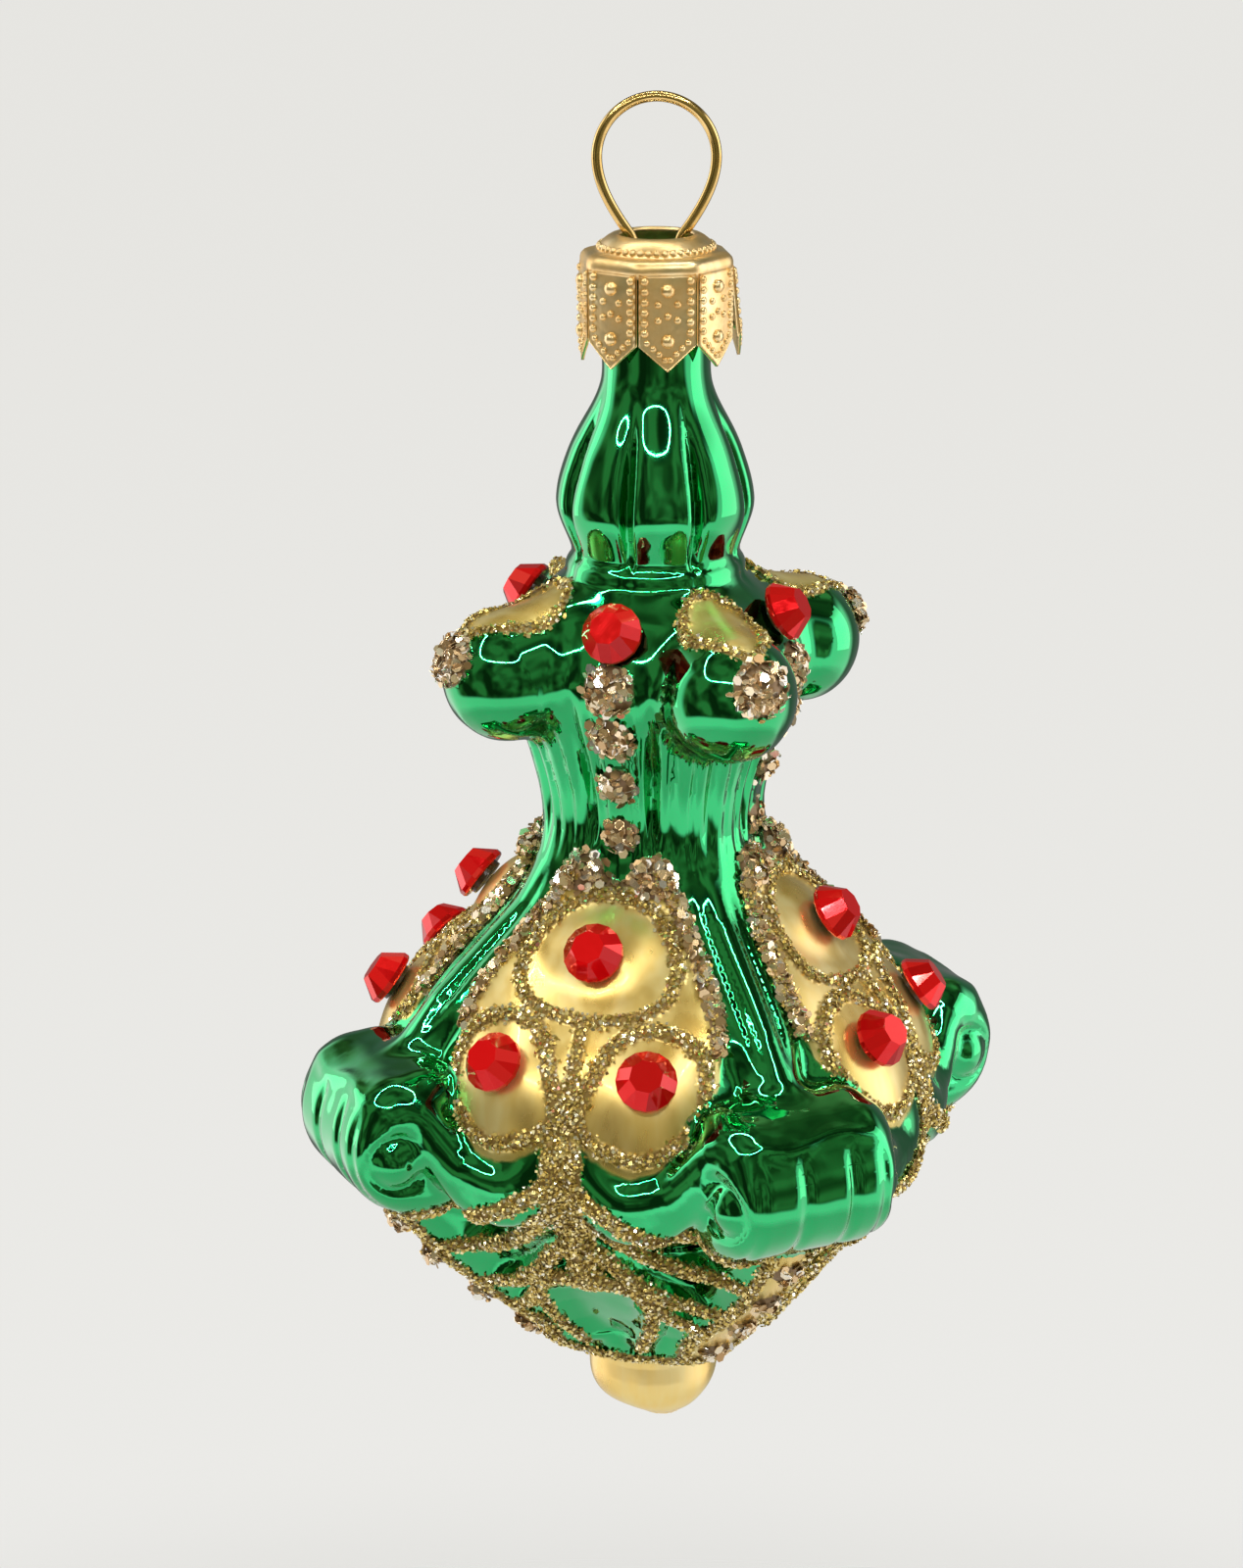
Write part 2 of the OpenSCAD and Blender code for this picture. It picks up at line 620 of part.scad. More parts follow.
// Gold glitter bead laid along points on the skin, closed into a ring or with two ends
module bead(path, ring) {
    n = len(path);
    up = [for (q = path) skin_normal(q)];
    function near(i) = ring ? (i + n) % n : max(0, min(n - 1, i));
    across = [for (i = [0:n - 1]) unit(cross(up[i], path[near(i + 1)] - path[near(i - 1)]))];
    points = [
        for (i = [0:n - 1]) for (c = [[-0.5, 0], [0.5, 0], [0.28, 1], [-0.28, 1]])
            let (q = snap(path[i] + across[i] * c[0] * bead_w))
            q + skin_normal(q) * (bond_gap + c[1] * bead_t)
    ];
    last = ring ? n - 1 : n - 2;
    sides = [
        for (i = [0:last]) for (c = [0:3]) for (half = [0, 1])
            let (p = 4 * i)
            let (w = 4 * ((i + 1) % n))
            let (d = (c + 1) % 4)
            half == 0 ? [p + c, w + c, p + d] : [p + d, w + c, w + d]
    ];
    e = 4 * (n - 1);
    ends = ring ? [] : [[0, 1, 2], [0, 2, 3], [e + 2, e + 1, e], [e + 3, e + 2, e]];
    color("gold")
        translate([0, 0, foot_z])
            polyhedron(points, concat(sides, ends));
}

// Rings round the three domes of a petal
module petal_bead(i) {
    rings = [
        [0, top_dome_t, top_dome_r - 0.5 * bead_w],
        [-low_dome_s, low_dome_t, low_dome_r - 0.9 * bead_w],
        [low_dome_s, low_dome_t, low_dome_r - 0.9 * bead_w]
    ];
    for (ring = rings)
        bead([
            for (k = [0:23])
                let (t = ring[1] + ring[2] * sin(k * 15))
                let (s = ring[0] + ring[2] * cos(k * 15))
                skin_point(face_turn(i) + petal_turn(s, t), petal_height(t))
        ], true);
}

// Stem down the middle of a bowl face and three drooping leaf veins on each side of it
module leaf_bead(i) {
    // Each vein: turn where it ends, height at the stem and its drop
    veins = [
        [22, rim_h - 1.2, 3],
        [27, rim_h - 3.4, 4.6],
        [24, rim_h - 6.9, 4]
    ];
    bead([for (k = [0:8]) skin_point(face_turn(i), mix(keel_h + 8, rim_h - 0.8, k / 8))], false);
    for (side = [-1, 1], vein = veins)
        bead([
            for (k = [0:8])
                skin_point(
                    face_turn(i) + side * mix(6.5, vein[0], k / 8),
                    vein[1] - vein[2] * sin(90 * k / 8)
                )
        ], false);
}

// Outline of the lacquered leaf on top of a roof lobe, which stops short of the dab over the tip
module roof_bead(i) {
    near_r = throat_d / 2 + 2;
    dab_edge = roof_dab_d / 2 + trim_gap + bead_w / 2;
    far_turn = asin(roof_dab_rise) + dab_edge / (lobe_r + bond_gap) * 180 / PI;
    far_r = lobe_reach + lobe_r * cos(far_turn);
    bead([
        for (k = [0:19])
            let (p = mix(near_r, far_r, 0.5 - 0.5 * cos(k * 18)))
            let (q = 0.56 * lobe_r * sin(k * 18))
            let (a = corner_turn(i))
            roof_point(p * cos(a) - q * sin(a), p * sin(a) + q * cos(a))
    ], true);
}

// Dabs down a column face
module column_dabs(i) {
    for (k = [0:3])
        dab(
            skin_point(face_turn(i), mix(column_h + 0.4, waist_h + 1.6, k / 3)),
            dab_d * (1 - 0.1 * k),
            dab_t
        );
}

// Dab over the tip of a roof lobe
module roof_dab(i) {
    dab(skin_point(corner_turn(i), lobe_h + roof_dab_rise * lobe_r), roof_dab_d, dab_t);
}

// Dabs down the corner of the bowl, under a scroll
module bowl_dabs(i) {
    for (k = [0:3])
        dab(
            skin_point(corner_turn(i), mix(scroll_h - scroll_r - 2, keel_h + 0.5, k / 3)),
            0.6 * dab_d,
            dab_t
        );
}

hanger_wire();
crown_cap();
glass_body();
glue_pads();
for (i = [0:3]) {
    rhinestone(eave_seat(i));
    rhinestone(top_seat(i));
    rhinestone(low_seat(i, -1));
    rhinestone(low_seat(i, 1));
    petal_bead(i);
    leaf_bead(i);
    column_dabs(i);
    roof_bead(i);
    roof_dab(i);
    bowl_dabs(i);
}
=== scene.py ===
# %% [markdown]
# # A blown glass lantern ornament
# This lesson dresses a glass Christmas ornament: a four-sided lantern of green mirrored glass, with gold
# lacquered petals, red stones, two grades of glitter, a pressed gold cap and a spring wire hanger.
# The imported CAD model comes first. It gives every place and size, so each piece below is made where the
# CAD says, in metres, and rides on one of its bodies: hanger, cap or glass.

# %% Load the frame
import json
import math

import bpy
import numpy as np
from mathutils import Matrix, Vector

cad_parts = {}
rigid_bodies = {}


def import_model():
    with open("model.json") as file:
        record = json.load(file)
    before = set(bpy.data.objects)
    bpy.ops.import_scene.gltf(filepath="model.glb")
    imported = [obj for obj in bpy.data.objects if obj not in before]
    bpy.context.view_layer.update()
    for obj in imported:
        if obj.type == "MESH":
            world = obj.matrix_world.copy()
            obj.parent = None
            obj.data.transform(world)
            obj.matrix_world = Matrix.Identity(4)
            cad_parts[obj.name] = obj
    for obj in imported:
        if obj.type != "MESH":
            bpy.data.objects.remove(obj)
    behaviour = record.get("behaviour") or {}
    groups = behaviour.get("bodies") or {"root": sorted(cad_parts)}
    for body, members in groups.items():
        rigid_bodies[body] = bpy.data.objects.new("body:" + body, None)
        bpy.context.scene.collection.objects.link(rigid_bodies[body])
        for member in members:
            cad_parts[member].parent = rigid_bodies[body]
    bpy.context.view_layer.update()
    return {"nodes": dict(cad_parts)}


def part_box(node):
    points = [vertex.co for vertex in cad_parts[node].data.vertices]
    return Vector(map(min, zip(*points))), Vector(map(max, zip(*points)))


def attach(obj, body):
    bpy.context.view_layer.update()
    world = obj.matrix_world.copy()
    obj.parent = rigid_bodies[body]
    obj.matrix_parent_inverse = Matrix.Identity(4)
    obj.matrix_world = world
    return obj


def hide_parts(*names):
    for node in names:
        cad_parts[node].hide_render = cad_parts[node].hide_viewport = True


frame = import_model()
MM = 0.001
FACES = ("front", "right", "back", "left")
PLATE_GAP = 0.3
FOOT_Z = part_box("glass_body")[0].z / MM
PLATE_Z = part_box("glass_body")[1].z / MM + PLATE_GAP
print("nodes:", len(frame["nodes"]), "foot at", round(FOOT_Z, 3), "mm")

# %% [markdown]
# ## Camera
# The photograph was taken a little above the lantern and a little to the right of its front face. A long
# lens of about 84 mm keeps the sides nearly parallel. The camera is slid sideways by 2 mm rather than
# shifted, so that the other views stay centred.

# %% Camera
AZIMUTH, ELEVATION, DISTANCE = math.radians(18.8), math.radians(17.7), 240 * MM
AIM_Z, SLIDE, LENS = -44.5 * MM, 2.19 * MM, 83.7
back = Vector((math.cos(ELEVATION) * math.sin(AZIMUTH), -math.cos(ELEVATION) * math.cos(AZIMUTH),
               math.sin(ELEVATION)))
right = Vector((math.cos(AZIMUTH), math.sin(AZIMUTH), 0))
camera = bpy.data.objects.new("camera", bpy.data.cameras.new("camera"))
camera.data.lens = LENS
camera.data.sensor_width = 36
camera.location = Vector((0, 0, AIM_Z)) + DISTANCE * back - SLIDE * right
camera.rotation_euler = back.to_track_quat("Z", "Y").to_euler()
bpy.context.scene.collection.objects.link(camera)
bpy.context.scene.camera = camera
bpy.context.scene.view_settings.view_transform = "Standard"
print("camera at", [round(c, 4) for c in camera.location])

# %% [markdown]
# ## Small helpers
# A mesh is often easiest to make from plain arrays of points and faces. A node tree is easiest to read
# when one line makes a node and feeds its inputs, with either a number or another node's output.

# %% Number helpers
def unit(t):
    return np.clip(t, 0, 1)


def nearest(distances):
    return np.minimum.reduce(list(distances))


def on_ring(radius, angle, z):
    """Points at a distance from the upright axis, an angle round it and a height."""
    return np.stack(np.broadcast_arrays(radius * np.cos(angle), radius * np.sin(angle), z), axis=-1)


# %% Mesh helpers
def new_piece(name, points, faces, material, smooth=True):
    """An object at the origin from points in millimetres and faces of point numbers."""
    mesh = bpy.data.meshes.new(name)
    mesh.from_pydata((np.asarray(points, float) * MM).tolist(), [], faces)
    mesh.materials.append(material)
    mesh.polygons.foreach_set("use_smooth", np.full(len(mesh.polygons), smooth))
    mesh.update()
    piece = bpy.data.objects.new(name, mesh)
    bpy.context.scene.collection.objects.link(piece)
    return piece


def keep_values(mesh, name, values, domain="POINT"):
    """Stores one number for each point or face, for a material or a tree to read."""
    mesh.attributes.new(name, "FLOAT", domain).data.foreach_set("value", np.asarray(values, np.float32))


# %% Node helpers
def feed(tree, target, value):
    if isinstance(value, bpy.types.NodeSocket):
        tree.links.new(value, target)
    else:
        target.default_value = value


def add(tree, kind, inputs=(), **settings):
    """A new node with its settings, and its inputs fed by name or by number."""
    made = tree.nodes.new(kind)
    for key, value in settings.items():
        setattr(made, key, value)
    for key, value in (inputs.items() if isinstance(inputs, dict) else enumerate(inputs)):
        if value is not None:
            feed(tree, made.inputs[key], value)
    return made


def calc(tree, operation, *values):
    return add(tree, "ShaderNodeMath", values, operation=operation).outputs[0]


def mix_colour(tree, factor, first, second):
    return add(tree, "ShaderNodeMix", {0: factor, 6: first, 7: second}, data_type="RGBA").outputs[2]


def span(tree, value, low, high, to_low=0.0, to_high=1.0, smooth=True):
    """Maps low to high onto another range, clamped."""
    return add(tree, "ShaderNodeMapRange", (value, low, high, to_low, to_high),
               interpolation_type="SMOOTHSTEP" if smooth else "LINEAR").outputs[0]


def ramp(tree, value, *stops):
    node = add(tree, "ShaderNodeValToRGB", (value,))
    while len(node.color_ramp.elements) < len(stops):
        node.color_ramp.elements.new(0.5)
    for element, (place, colour) in zip(node.color_ramp.elements, stops):
        element.position = place
        element.color = (*colour, 1)
    return node.outputs[0]


def attribute(tree, name):
    return add(tree, "ShaderNodeAttribute", attribute_name=name).outputs["Fac"]


def new_material(name):
    made = bpy.data.materials.new(name)
    made.use_nodes = True
    return made, made.node_tree, made.node_tree.nodes["Principled BSDF"]


def dress(tree, shader, looks):
    """Feeds a shader's inputs by name."""
    for name, value in looks.items():
        feed(tree, shader.inputs[name], value)


# %% [markdown]
# ## Shared finishes
# Two effects return in almost every material here. Brushed or cast surfaces have a fine cloudy grain, and
# hand-painted areas have edges that wander a little. Each is a shader node group, made once and placed in
# each material with its own values.

# %% Node groups
def new_group(name, inputs, outputs):
    group = bpy.data.node_groups.new(name, "ShaderNodeTree")
    for label, value in inputs:
        group.interface.new_socket(label, in_out="INPUT", socket_type="NodeSocketFloat").default_value = value
    for label in outputs:
        group.interface.new_socket(label, in_out="OUTPUT", socket_type="NodeSocketFloat")
    return group, group.nodes.new("NodeGroupInput").outputs, group.nodes.new("NodeGroupOutput").inputs


grain_group, given, result = new_group("cloudy_grain", [("Scale", 1000.0), ("Stretch", 1.0)], ["Grain"])
place = add(grain_group, "ShaderNodeTexCoord").outputs["Object"]
stretched = add(grain_group, "ShaderNodeVectorMath", (place, None), operation="MULTIPLY")
feed(grain_group, stretched.inputs[1],
     add(grain_group, "ShaderNodeCombineXYZ", (1.0, 1.0, given["Stretch"])).outputs[0])
noise = add(grain_group, "ShaderNodeTexNoise", {"Vector": stretched.outputs[0], "Scale": given["Scale"],
                                                "Detail": 3.0})
feed(grain_group, result["Grain"], noise.outputs["Fac"])

edge_group, given, result = new_group("painted_edge", [("Distance", 0.0), ("Softness", 0.1), ("Wander", 0.2),
                                                       ("Scale", 900.0)], ["Mask"])
place = add(edge_group, "ShaderNodeTexCoord").outputs["Object"]
noise = add(edge_group, "ShaderNodeTexNoise", {"Vector": place, "Scale": given["Scale"], "Detail": 2.0})
shift = calc(edge_group, "MULTIPLY", calc(edge_group, "SUBTRACT", noise.outputs["Fac"], 0.5), given["Wander"])
moved = calc(edge_group, "ADD", given["Distance"], shift)
outer = calc(edge_group, "MULTIPLY", given["Softness"], -1.0)
feed(edge_group, result["Mask"], span(edge_group, moved, given["Softness"], outer))


def place_group(tree, group, **values):
    node = tree.nodes.new("ShaderNodeGroup")
    node.node_tree = group
    for key, value in values.items():
        feed(tree, node.inputs[key], value)
    return node.outputs[0]


def grain(tree, scale, stretch=1.0):
    return place_group(tree, grain_group, Scale=scale, Stretch=stretch)


print("groups:", [g.name for g in (grain_group, edge_group)])

# %% [markdown]
# ## The blown form
# Molten glass is blown into a two-part metal mould, so the whole body is one skin that flows from form to
# form. A distance rule describes that best: it gives how far a point is outside the skin, with rods, drums
# and balls joined by fillets. The rule is the one that the CAD uses, so the stones and the cap fit, and it
# gets the finer lines of the mould that the CAD leaves out. Because all four faces are alike, a point is
# folded into one eighth of the turn first.

# %% Half-outline of the blown form
STATIONS = [(3.5, 2.5), (5.1, 4.5), (7.6, 8.1), (16.0, 14.6), (24.6, 17.7), (30.9, 15.5), (42.0, 7.1),
            (53.6, 9.5), (57.6, 7.9), (60.8, 5.3), (64.5, 6.2), (72.4, 3.55), (82.0, 3.55)]
NECK_TOP = 80.0
OUTLINE_STEP = 0.02


def smooth_outline(stations, step=OUTLINE_STEP):
    """Heights, radii and leans of a curve through stations that never overshoots them."""
    h, r = np.array(stations).T
    width = np.diff(h)
    chord = np.diff(r) / width
    slope = np.zeros(len(h))
    same = chord[:-1] * chord[1:] > 0
    slope[1:-1][same] = 2 * chord[:-1][same] * chord[1:][same] / (chord[:-1] + chord[1:])[same]
    at = np.arange(h[0], h[-1], step)
    i = np.clip(np.searchsorted(h, at, "right") - 1, 0, len(h) - 2)
    t = (at - h[i]) / width[i]
    radius = (r[i] * (1 + 2 * t) * (1 - t) ** 2 + r[i + 1] * (3 - 2 * t) * t * t
              + width[i] * slope[i] * t * (1 - t) ** 2 + width[i] * slope[i + 1] * t * t * (t - 1))
    return at, radius, np.gradient(radius, step)


HEIGHTS, RADII, LEANS = smooth_outline(STATIONS)
ALONG = np.cumsum(np.hypot(1, LEANS)) * OUTLINE_STEP


def core_r(h):
    return np.interp(h, HEIGHTS, RADII)


def unrolled(turn, h):
    """Places on the skin laid flat: across from the middle of a face, and up the slope, in millimetres."""
    return np.radians(turn) * core_r(h), np.interp(h, HEIGHTS, ALONG)


print("widest", round(2 * RADII.max(), 1), "mm, slope length", round(ALONG[-1], 1), "mm")

# %% [markdown]
# ## The drawn lines
# The petals, leaf veins and glitter trails are drawn by hand on each face. They are written here as turns
# from the middle of the face, in degrees, and heights above the foot, in millimetres, for one half of a face.

# %% Lines of one half face
PETAL = [(0, 40.2), (8, 40.8), (15, 41.8), (22, 41.6), (27.4, 40.2), (31.2, 38.2), (33.6, 36), (34.8, 34),
         (34.2, 32), (32.2, 30.2), (29.4, 28.5), (25.5, 26.7), (20.5, 25.4), (15, 24.9), (9, 25.4), (4, 26.4),
         (0, 27.0)]
TOP_RING = [(0, 40.0), (10, 39.9), (19, 39.2), (24.5, 37.8), (25.5, 36.2), (22.5, 34.9), (16, 34.1),
            (9, 33.7), (0, 33.5)]
LOW_RING = [(5.2, 30.8), (7.6, 32.2), (12, 33.1), (18, 33.4), (25, 33.0), (29.6, 31.9), (29.7, 30.5),
            (27.8, 29.1), (24.6, 27.7), (20.2, 26.6), (15, 26.1), (9.2, 26.6), (4.6, 27.2), (2.4, 28.2),
            (3.0, 29.5), (5.2, 30.8)]
MIDDLE = [(0, 33.4), (0, 26.4)]
STEM = [(0, 25.8), (0, 15.4)]
VEINS = [
    [(0, 25.0), (5, 23.4), (12, 21.9), (18, 21.0), (26, 20.2), (32, 19.8), (39, 19.4)],
    [(0, 22.4), (6, 21.0), (12, 19.1), (20, 17.6), (29, 16.5), (38, 15.9)],
    [(0, 19.2), (6.8, 17.8), (12, 16.0), (18, 14.8), (26, 13.6), (37, 12.8)],
    [(0, 15.7), (8, 15.4), (13, 14.9), (17, 13.7), (25, 11.9), (35, 10.6)],
]
ARCH = [(17, 13.7), (18, 12), (17, 10), (13, 8.4)]
FOOT_RING = [(0, 6.8), (45, 6.8)]
TRAIL = [(21, 41.0), (26.8, 39.9), (30.6, 38.0), (33.0, 36.0), (34.2, 34.0), (33.4, 32.2)]
CROWN_BAND = [(0, 40.4), (9, 40.9), (18, 41.3)]
EAR = (18, 41.2)
RIBBON = [(3.0, 17.2, 25.4), (8.0, 18.0, 24.1), (13.3, 18.5, 23.4), (20.8, 18.8, 24.0), (26.5, 19.4, 25.9),
          (30.5, 20.4, 27.4), (34.5, 21.1, 27.7), (39.0, 21.3, 27.2), (45.0, 21.4, 26.9)]


def far_from_line(across, up, line):
    """Distance on the unrolled skin from a line of turns and heights."""
    ends = np.stack(unrolled(*np.array(line, float).T), axis=1)
    best = np.full(np.shape(across), np.inf)
    for a, b in zip(ends[:-1], ends[1:]):
        step = b - a
        t = unit(((across - a[0]) * step[0] + (up - a[1]) * step[1]) / (step @ step))
        best = np.minimum(best, np.hypot(across - a[0] - t * step[0], up - a[1] - t * step[1]))
    return best


def far_from_petal(across, up):
    """Signed distance from the petal's edge, minus inside."""
    ends = np.stack(unrolled(*np.array(PETAL, float).T), axis=1)
    inside = np.zeros(np.shape(across), bool)
    closed = np.vstack([ends, ends[:1]])
    for a, b in zip(closed[:-1], closed[1:]):
        if a[1] != b[1]:
            hit = (a[1] > up) != (b[1] > up)
            inside ^= hit & (across < a[0] + (up - a[1]) / (b[1] - a[1]) * (b[0] - a[0]))
    distance = far_from_line(across, up, PETAL)
    return np.where(inside, -distance, distance)


print("lines:", 8 + len(VEINS), "on each half face")


# %% Ways to join distances
def blend(a, b, k):
    """The nearer of two distances, with a fillet of width k where they meet."""
    t = np.maximum(k - np.abs(a - b), 0) / k
    return np.minimum(a, b) - t * t * k / 4


def band(h, low, high):
    """Rises from nothing at one height to 1 halfway, and falls to nothing at the other."""
    t = unit((h - low) / (high - low))
    return 16 * (t * (1 - t)) ** 2


def edged(a, b, edge):
    """The part inside both distances, with a rounded edge."""
    return np.minimum(np.maximum(a, b), 0) + np.hypot(np.maximum(a, 0), np.maximum(b, 0)) - edge


def rod(at, a, b, ra, rb):
    """Distance from a round rod between two places, with a radius at each end."""
    step = np.subtract(b, a)
    t = unit(sum((at[i] - a[i]) * step[i] for i in range(3)) / (step @ step))
    gap = np.sqrt(sum((at[i] - a[i] - t * step[i]) ** 2 for i in range(3)))
    return gap - ra - (rb - ra) * t


def rods(at, path, radius):
    return nearest(rod(at, a, b, radius, radius) for a, b in zip(path[:-1], path[1:]))


def bump(x, width):
    return np.exp(-(x / width) ** 2)


# %% Domes and rods of the form
PETAL_H, SWELL = 33, 1.4
TOP_UP, LOW_UP, LOW_ACROSS = 4.9, -3.3, 5.0
TILT = math.atan(-(core_r(PETAL_H + 0.1) - core_r(PETAL_H - 0.1)) / 0.2)


def dome(across, up, radius):
    """Middle and radius of the ball whose cap stands on the bell."""
    h = PETAL_H + up * math.cos(TILT)
    turn = across / (core_r(h) + SWELL)
    ball = (radius ** 2 + SWELL ** 2) / (2 * SWELL)
    c = core_r(h) - (ball - SWELL) * math.cos(TILT)
    return (c * math.cos(turn), c * math.sin(turn), h - (ball - SWELL) * math.sin(TILT)), ball


TOP_DOME, LOW_DOME = dome(0, TOP_UP, 4.1), dome(LOW_ACROSS, LOW_UP, 4.8)
RIDGE = [(5.1, 0, 41.4), (8.1, 0, 37.0), (14.7, 0, 31.5), (17.9, 0, 27.8)]
RIB = [(17.6, 0, 20.2), (14.2, 0, 15.9), (10.2, 0, 12.4), (5.5, 0, 8.7)]
LOBE_ROOT, LOBE_TIP = (5, 0, 55.5), (10.5, 0, 53.8)
REACH, ROLL_H, ROLL_R, ROLL_W, ROLL_EDGE = 18.9, 24.7, 5.1, 12.0, 2.2
print("petals lean back by", round(math.degrees(TILT), 1), "degrees")


# %% Relief, ribbon and scroll
def drawn_relief(across, up, side, h, body):
    """Height that the petal and the leaf veins add to the bell and the bowl, with side off the corner."""
    relief = np.zeros(body.shape)
    near = (np.abs(body) < 3) & (h > 23) & (h < 44)
    a, u = across[near], up[near]
    rise = unit(0.5 - far_from_petal(a, u) / 0.8)
    ear = np.stack(unrolled(*EAR))
    relief[near] = 0.55 * rise * rise * (3 - 2 * rise) \
        + 0.5 * np.exp(-((a - ear[0]) ** 2 + (u - ear[1]) ** 2) / 1.4 ** 2)
    near = (np.abs(body) < 3) & (h > 6.5) & (h < 26)
    a, u, z = across[near], up[near], h[near]
    veins = nearest(far_from_line(a, u, line) for line in VEINS + [STEM, ARCH])
    window = unit((z - 7) / 2) * unit((25.5 - z) / 3) * unit((side[near] - 1.6) / 1.5)
    relief[near] -= (1 - bump(veins, 0.95) + 0.4 * (1 - bump(veins, 1.6))) * window
    return relief


def smooth_path(stops):
    """Points along a curve through stops of turn, distance from the axis and height."""
    turn, r, h = (smooth_outline(list(enumerate(column)), 0.34)[1] for column in zip(*stops))
    return on_ring(r, np.radians(turn), h)


CREST = smooth_path(RIBBON)
UNDER = CREST[:-10] * [0.99, 0.99, 1] - [0, 0, 1.9]


def ribbon(u, v, h):
    """Distance from the wave that runs from the stem, under a petal, up into a scroll."""
    return blend(rods((u, v, h), CREST, 1.3), rods((u, v, h), UNDER, 1.2), 1.6)


def scroll(p, q, h):
    """Distance from the plain drum of a scroll."""
    return edged(np.hypot(p - REACH, h - ROLL_H) - ROLL_R + ROLL_EDGE, q - ROLL_W / 2 + ROLL_EDGE, ROLL_EDGE)


# %% The mould's rule
def folded(x, y):
    """Places out and aside of the nearest face, out and aside of its corner, and the turn in degrees."""
    u, v = np.maximum(np.abs(x), np.abs(y)), np.minimum(np.abs(x), np.abs(y))
    return u, v, (u + v) / math.sqrt(2), (u - v) / math.sqrt(2), np.degrees(np.arctan2(v, u))


def mould(x, y, h, fine=True):
    """Distance of points from the skin, minus inside, with h above the foot."""
    u, v, p, q, turn = folded(x, y)
    r = np.hypot(x, y)
    core, lean = core_r(h), np.interp(h, HEIGHTS, LEANS)
    crease = 0.5 * band(h, 60.8, 72.4) * (1 - np.abs(np.sin(np.radians(4 * turn)))) ** 2
    groove = 0.45 * band(h, 41, 53.6) * bump(turn - 17, 3.5)
    angle = np.radians(turn)
    square = band(h, 27.9, 57.6) * ((np.cos(angle) ** 3 + np.sin(angle) ** 3) ** (-1 / 3) - 1)
    body = (r - core * (1 + square) + crease + groove) / np.hypot(1, lean)
    ridge, rib = rods((p, q, h), RIDGE, 2.0), rods((p, q, h), RIB, 2.6)
    drum = np.hypot(p - REACH, h - ROLL_H)
    roll = scroll(p, q, h)
    lobe = rod((p, q, h), LOBE_ROOT, LOBE_TIP, 3.7, 4.3)
    foot = np.maximum(edged(r - 1.5, 3.0 - h, 3.0), h - 7.1)
    balls = nearest(np.sqrt((u - m[0]) ** 2 + (v - m[1]) ** 2 + (h - m[2]) ** 2) - ball
                    for m, ball in (TOP_DOME, LOW_DOME))
    if fine:
        across, up = unrolled(turn, h)
        body = body - drawn_relief(across, up, q, h, body)
        flutes = 0.5 * bump(turn - 45, 3.0) + 0.5 * bump(turn - 17, 2.6) + 0.22 * bump(turn - 8.5, 1.3) \
            + 0.28 * bump(turn - 27, 1.8) + 0.2 * bump(turn - 36, 1.4)
        body = body + band(h, 40, 56) * flutes + 0.5 * band(h, 40, 53.5)
        creases = bump(turn, 3.2) + bump(turn - 45, 3.2)
        body = body + 0.8 * band(h, 58.5, 70.5) * creases - 0.4 * band(h, 64.5, 73) - 0.32 * band(h, 59, 67.5)
        ridge = ridge + 0.4 * bump(q - 1.0, 0.35) * unit((41 - h) / 3) * unit((h - 31) / 2)
        tip = np.degrees(np.arctan2(h - ROLL_H, p - REACH))
        shell = unit((drum - 2.2) / 1.2)
        roll = roll - shell * (0.12 * bump(tip - 46, 9) - 0.12 * bump(tip - 80, 14))
        eye = np.hypot(p - REACH - 2.2, h - ROLL_H + 0.5)
        flank = unit((q - 3.4) / 1.2)
        roll = roll + flank * (0.32 * bump(eye - 1.75, 0.45) - 0.5 * bump(eye, 1.1))
    bell = blend(blend(blend(body, ridge, 1.6), rib, 1.6), roll, 1)
    skin = blend(blend(blend(bell, balls, 0.5), lobe, 1.4), foot, 0.4)
    if fine:
        skin = blend(skin, ribbon(u, v, h), 1.0)
        skin = blend(skin, np.hypot(r - 5.3, h - 60.2) - 0.5, 0.7)
    return np.maximum(skin, -h)


print("skin at the top stone's seat:",
      round(float(mould(np.array([0.0]), np.array([-10.5]), np.array([37.2]))[0]), 2), "mm")

# %% [markdown]
# ## From rule to mesh
# A surface net turns the distance rule into a mesh. The rule is sampled on a grid, each cell that the skin
# passes through gets one point, and neighbouring points join into faces. The points then slide onto the
# exact skin. Hand blowing leaves gentle waves in the glass, which a few sine waves add at the end.

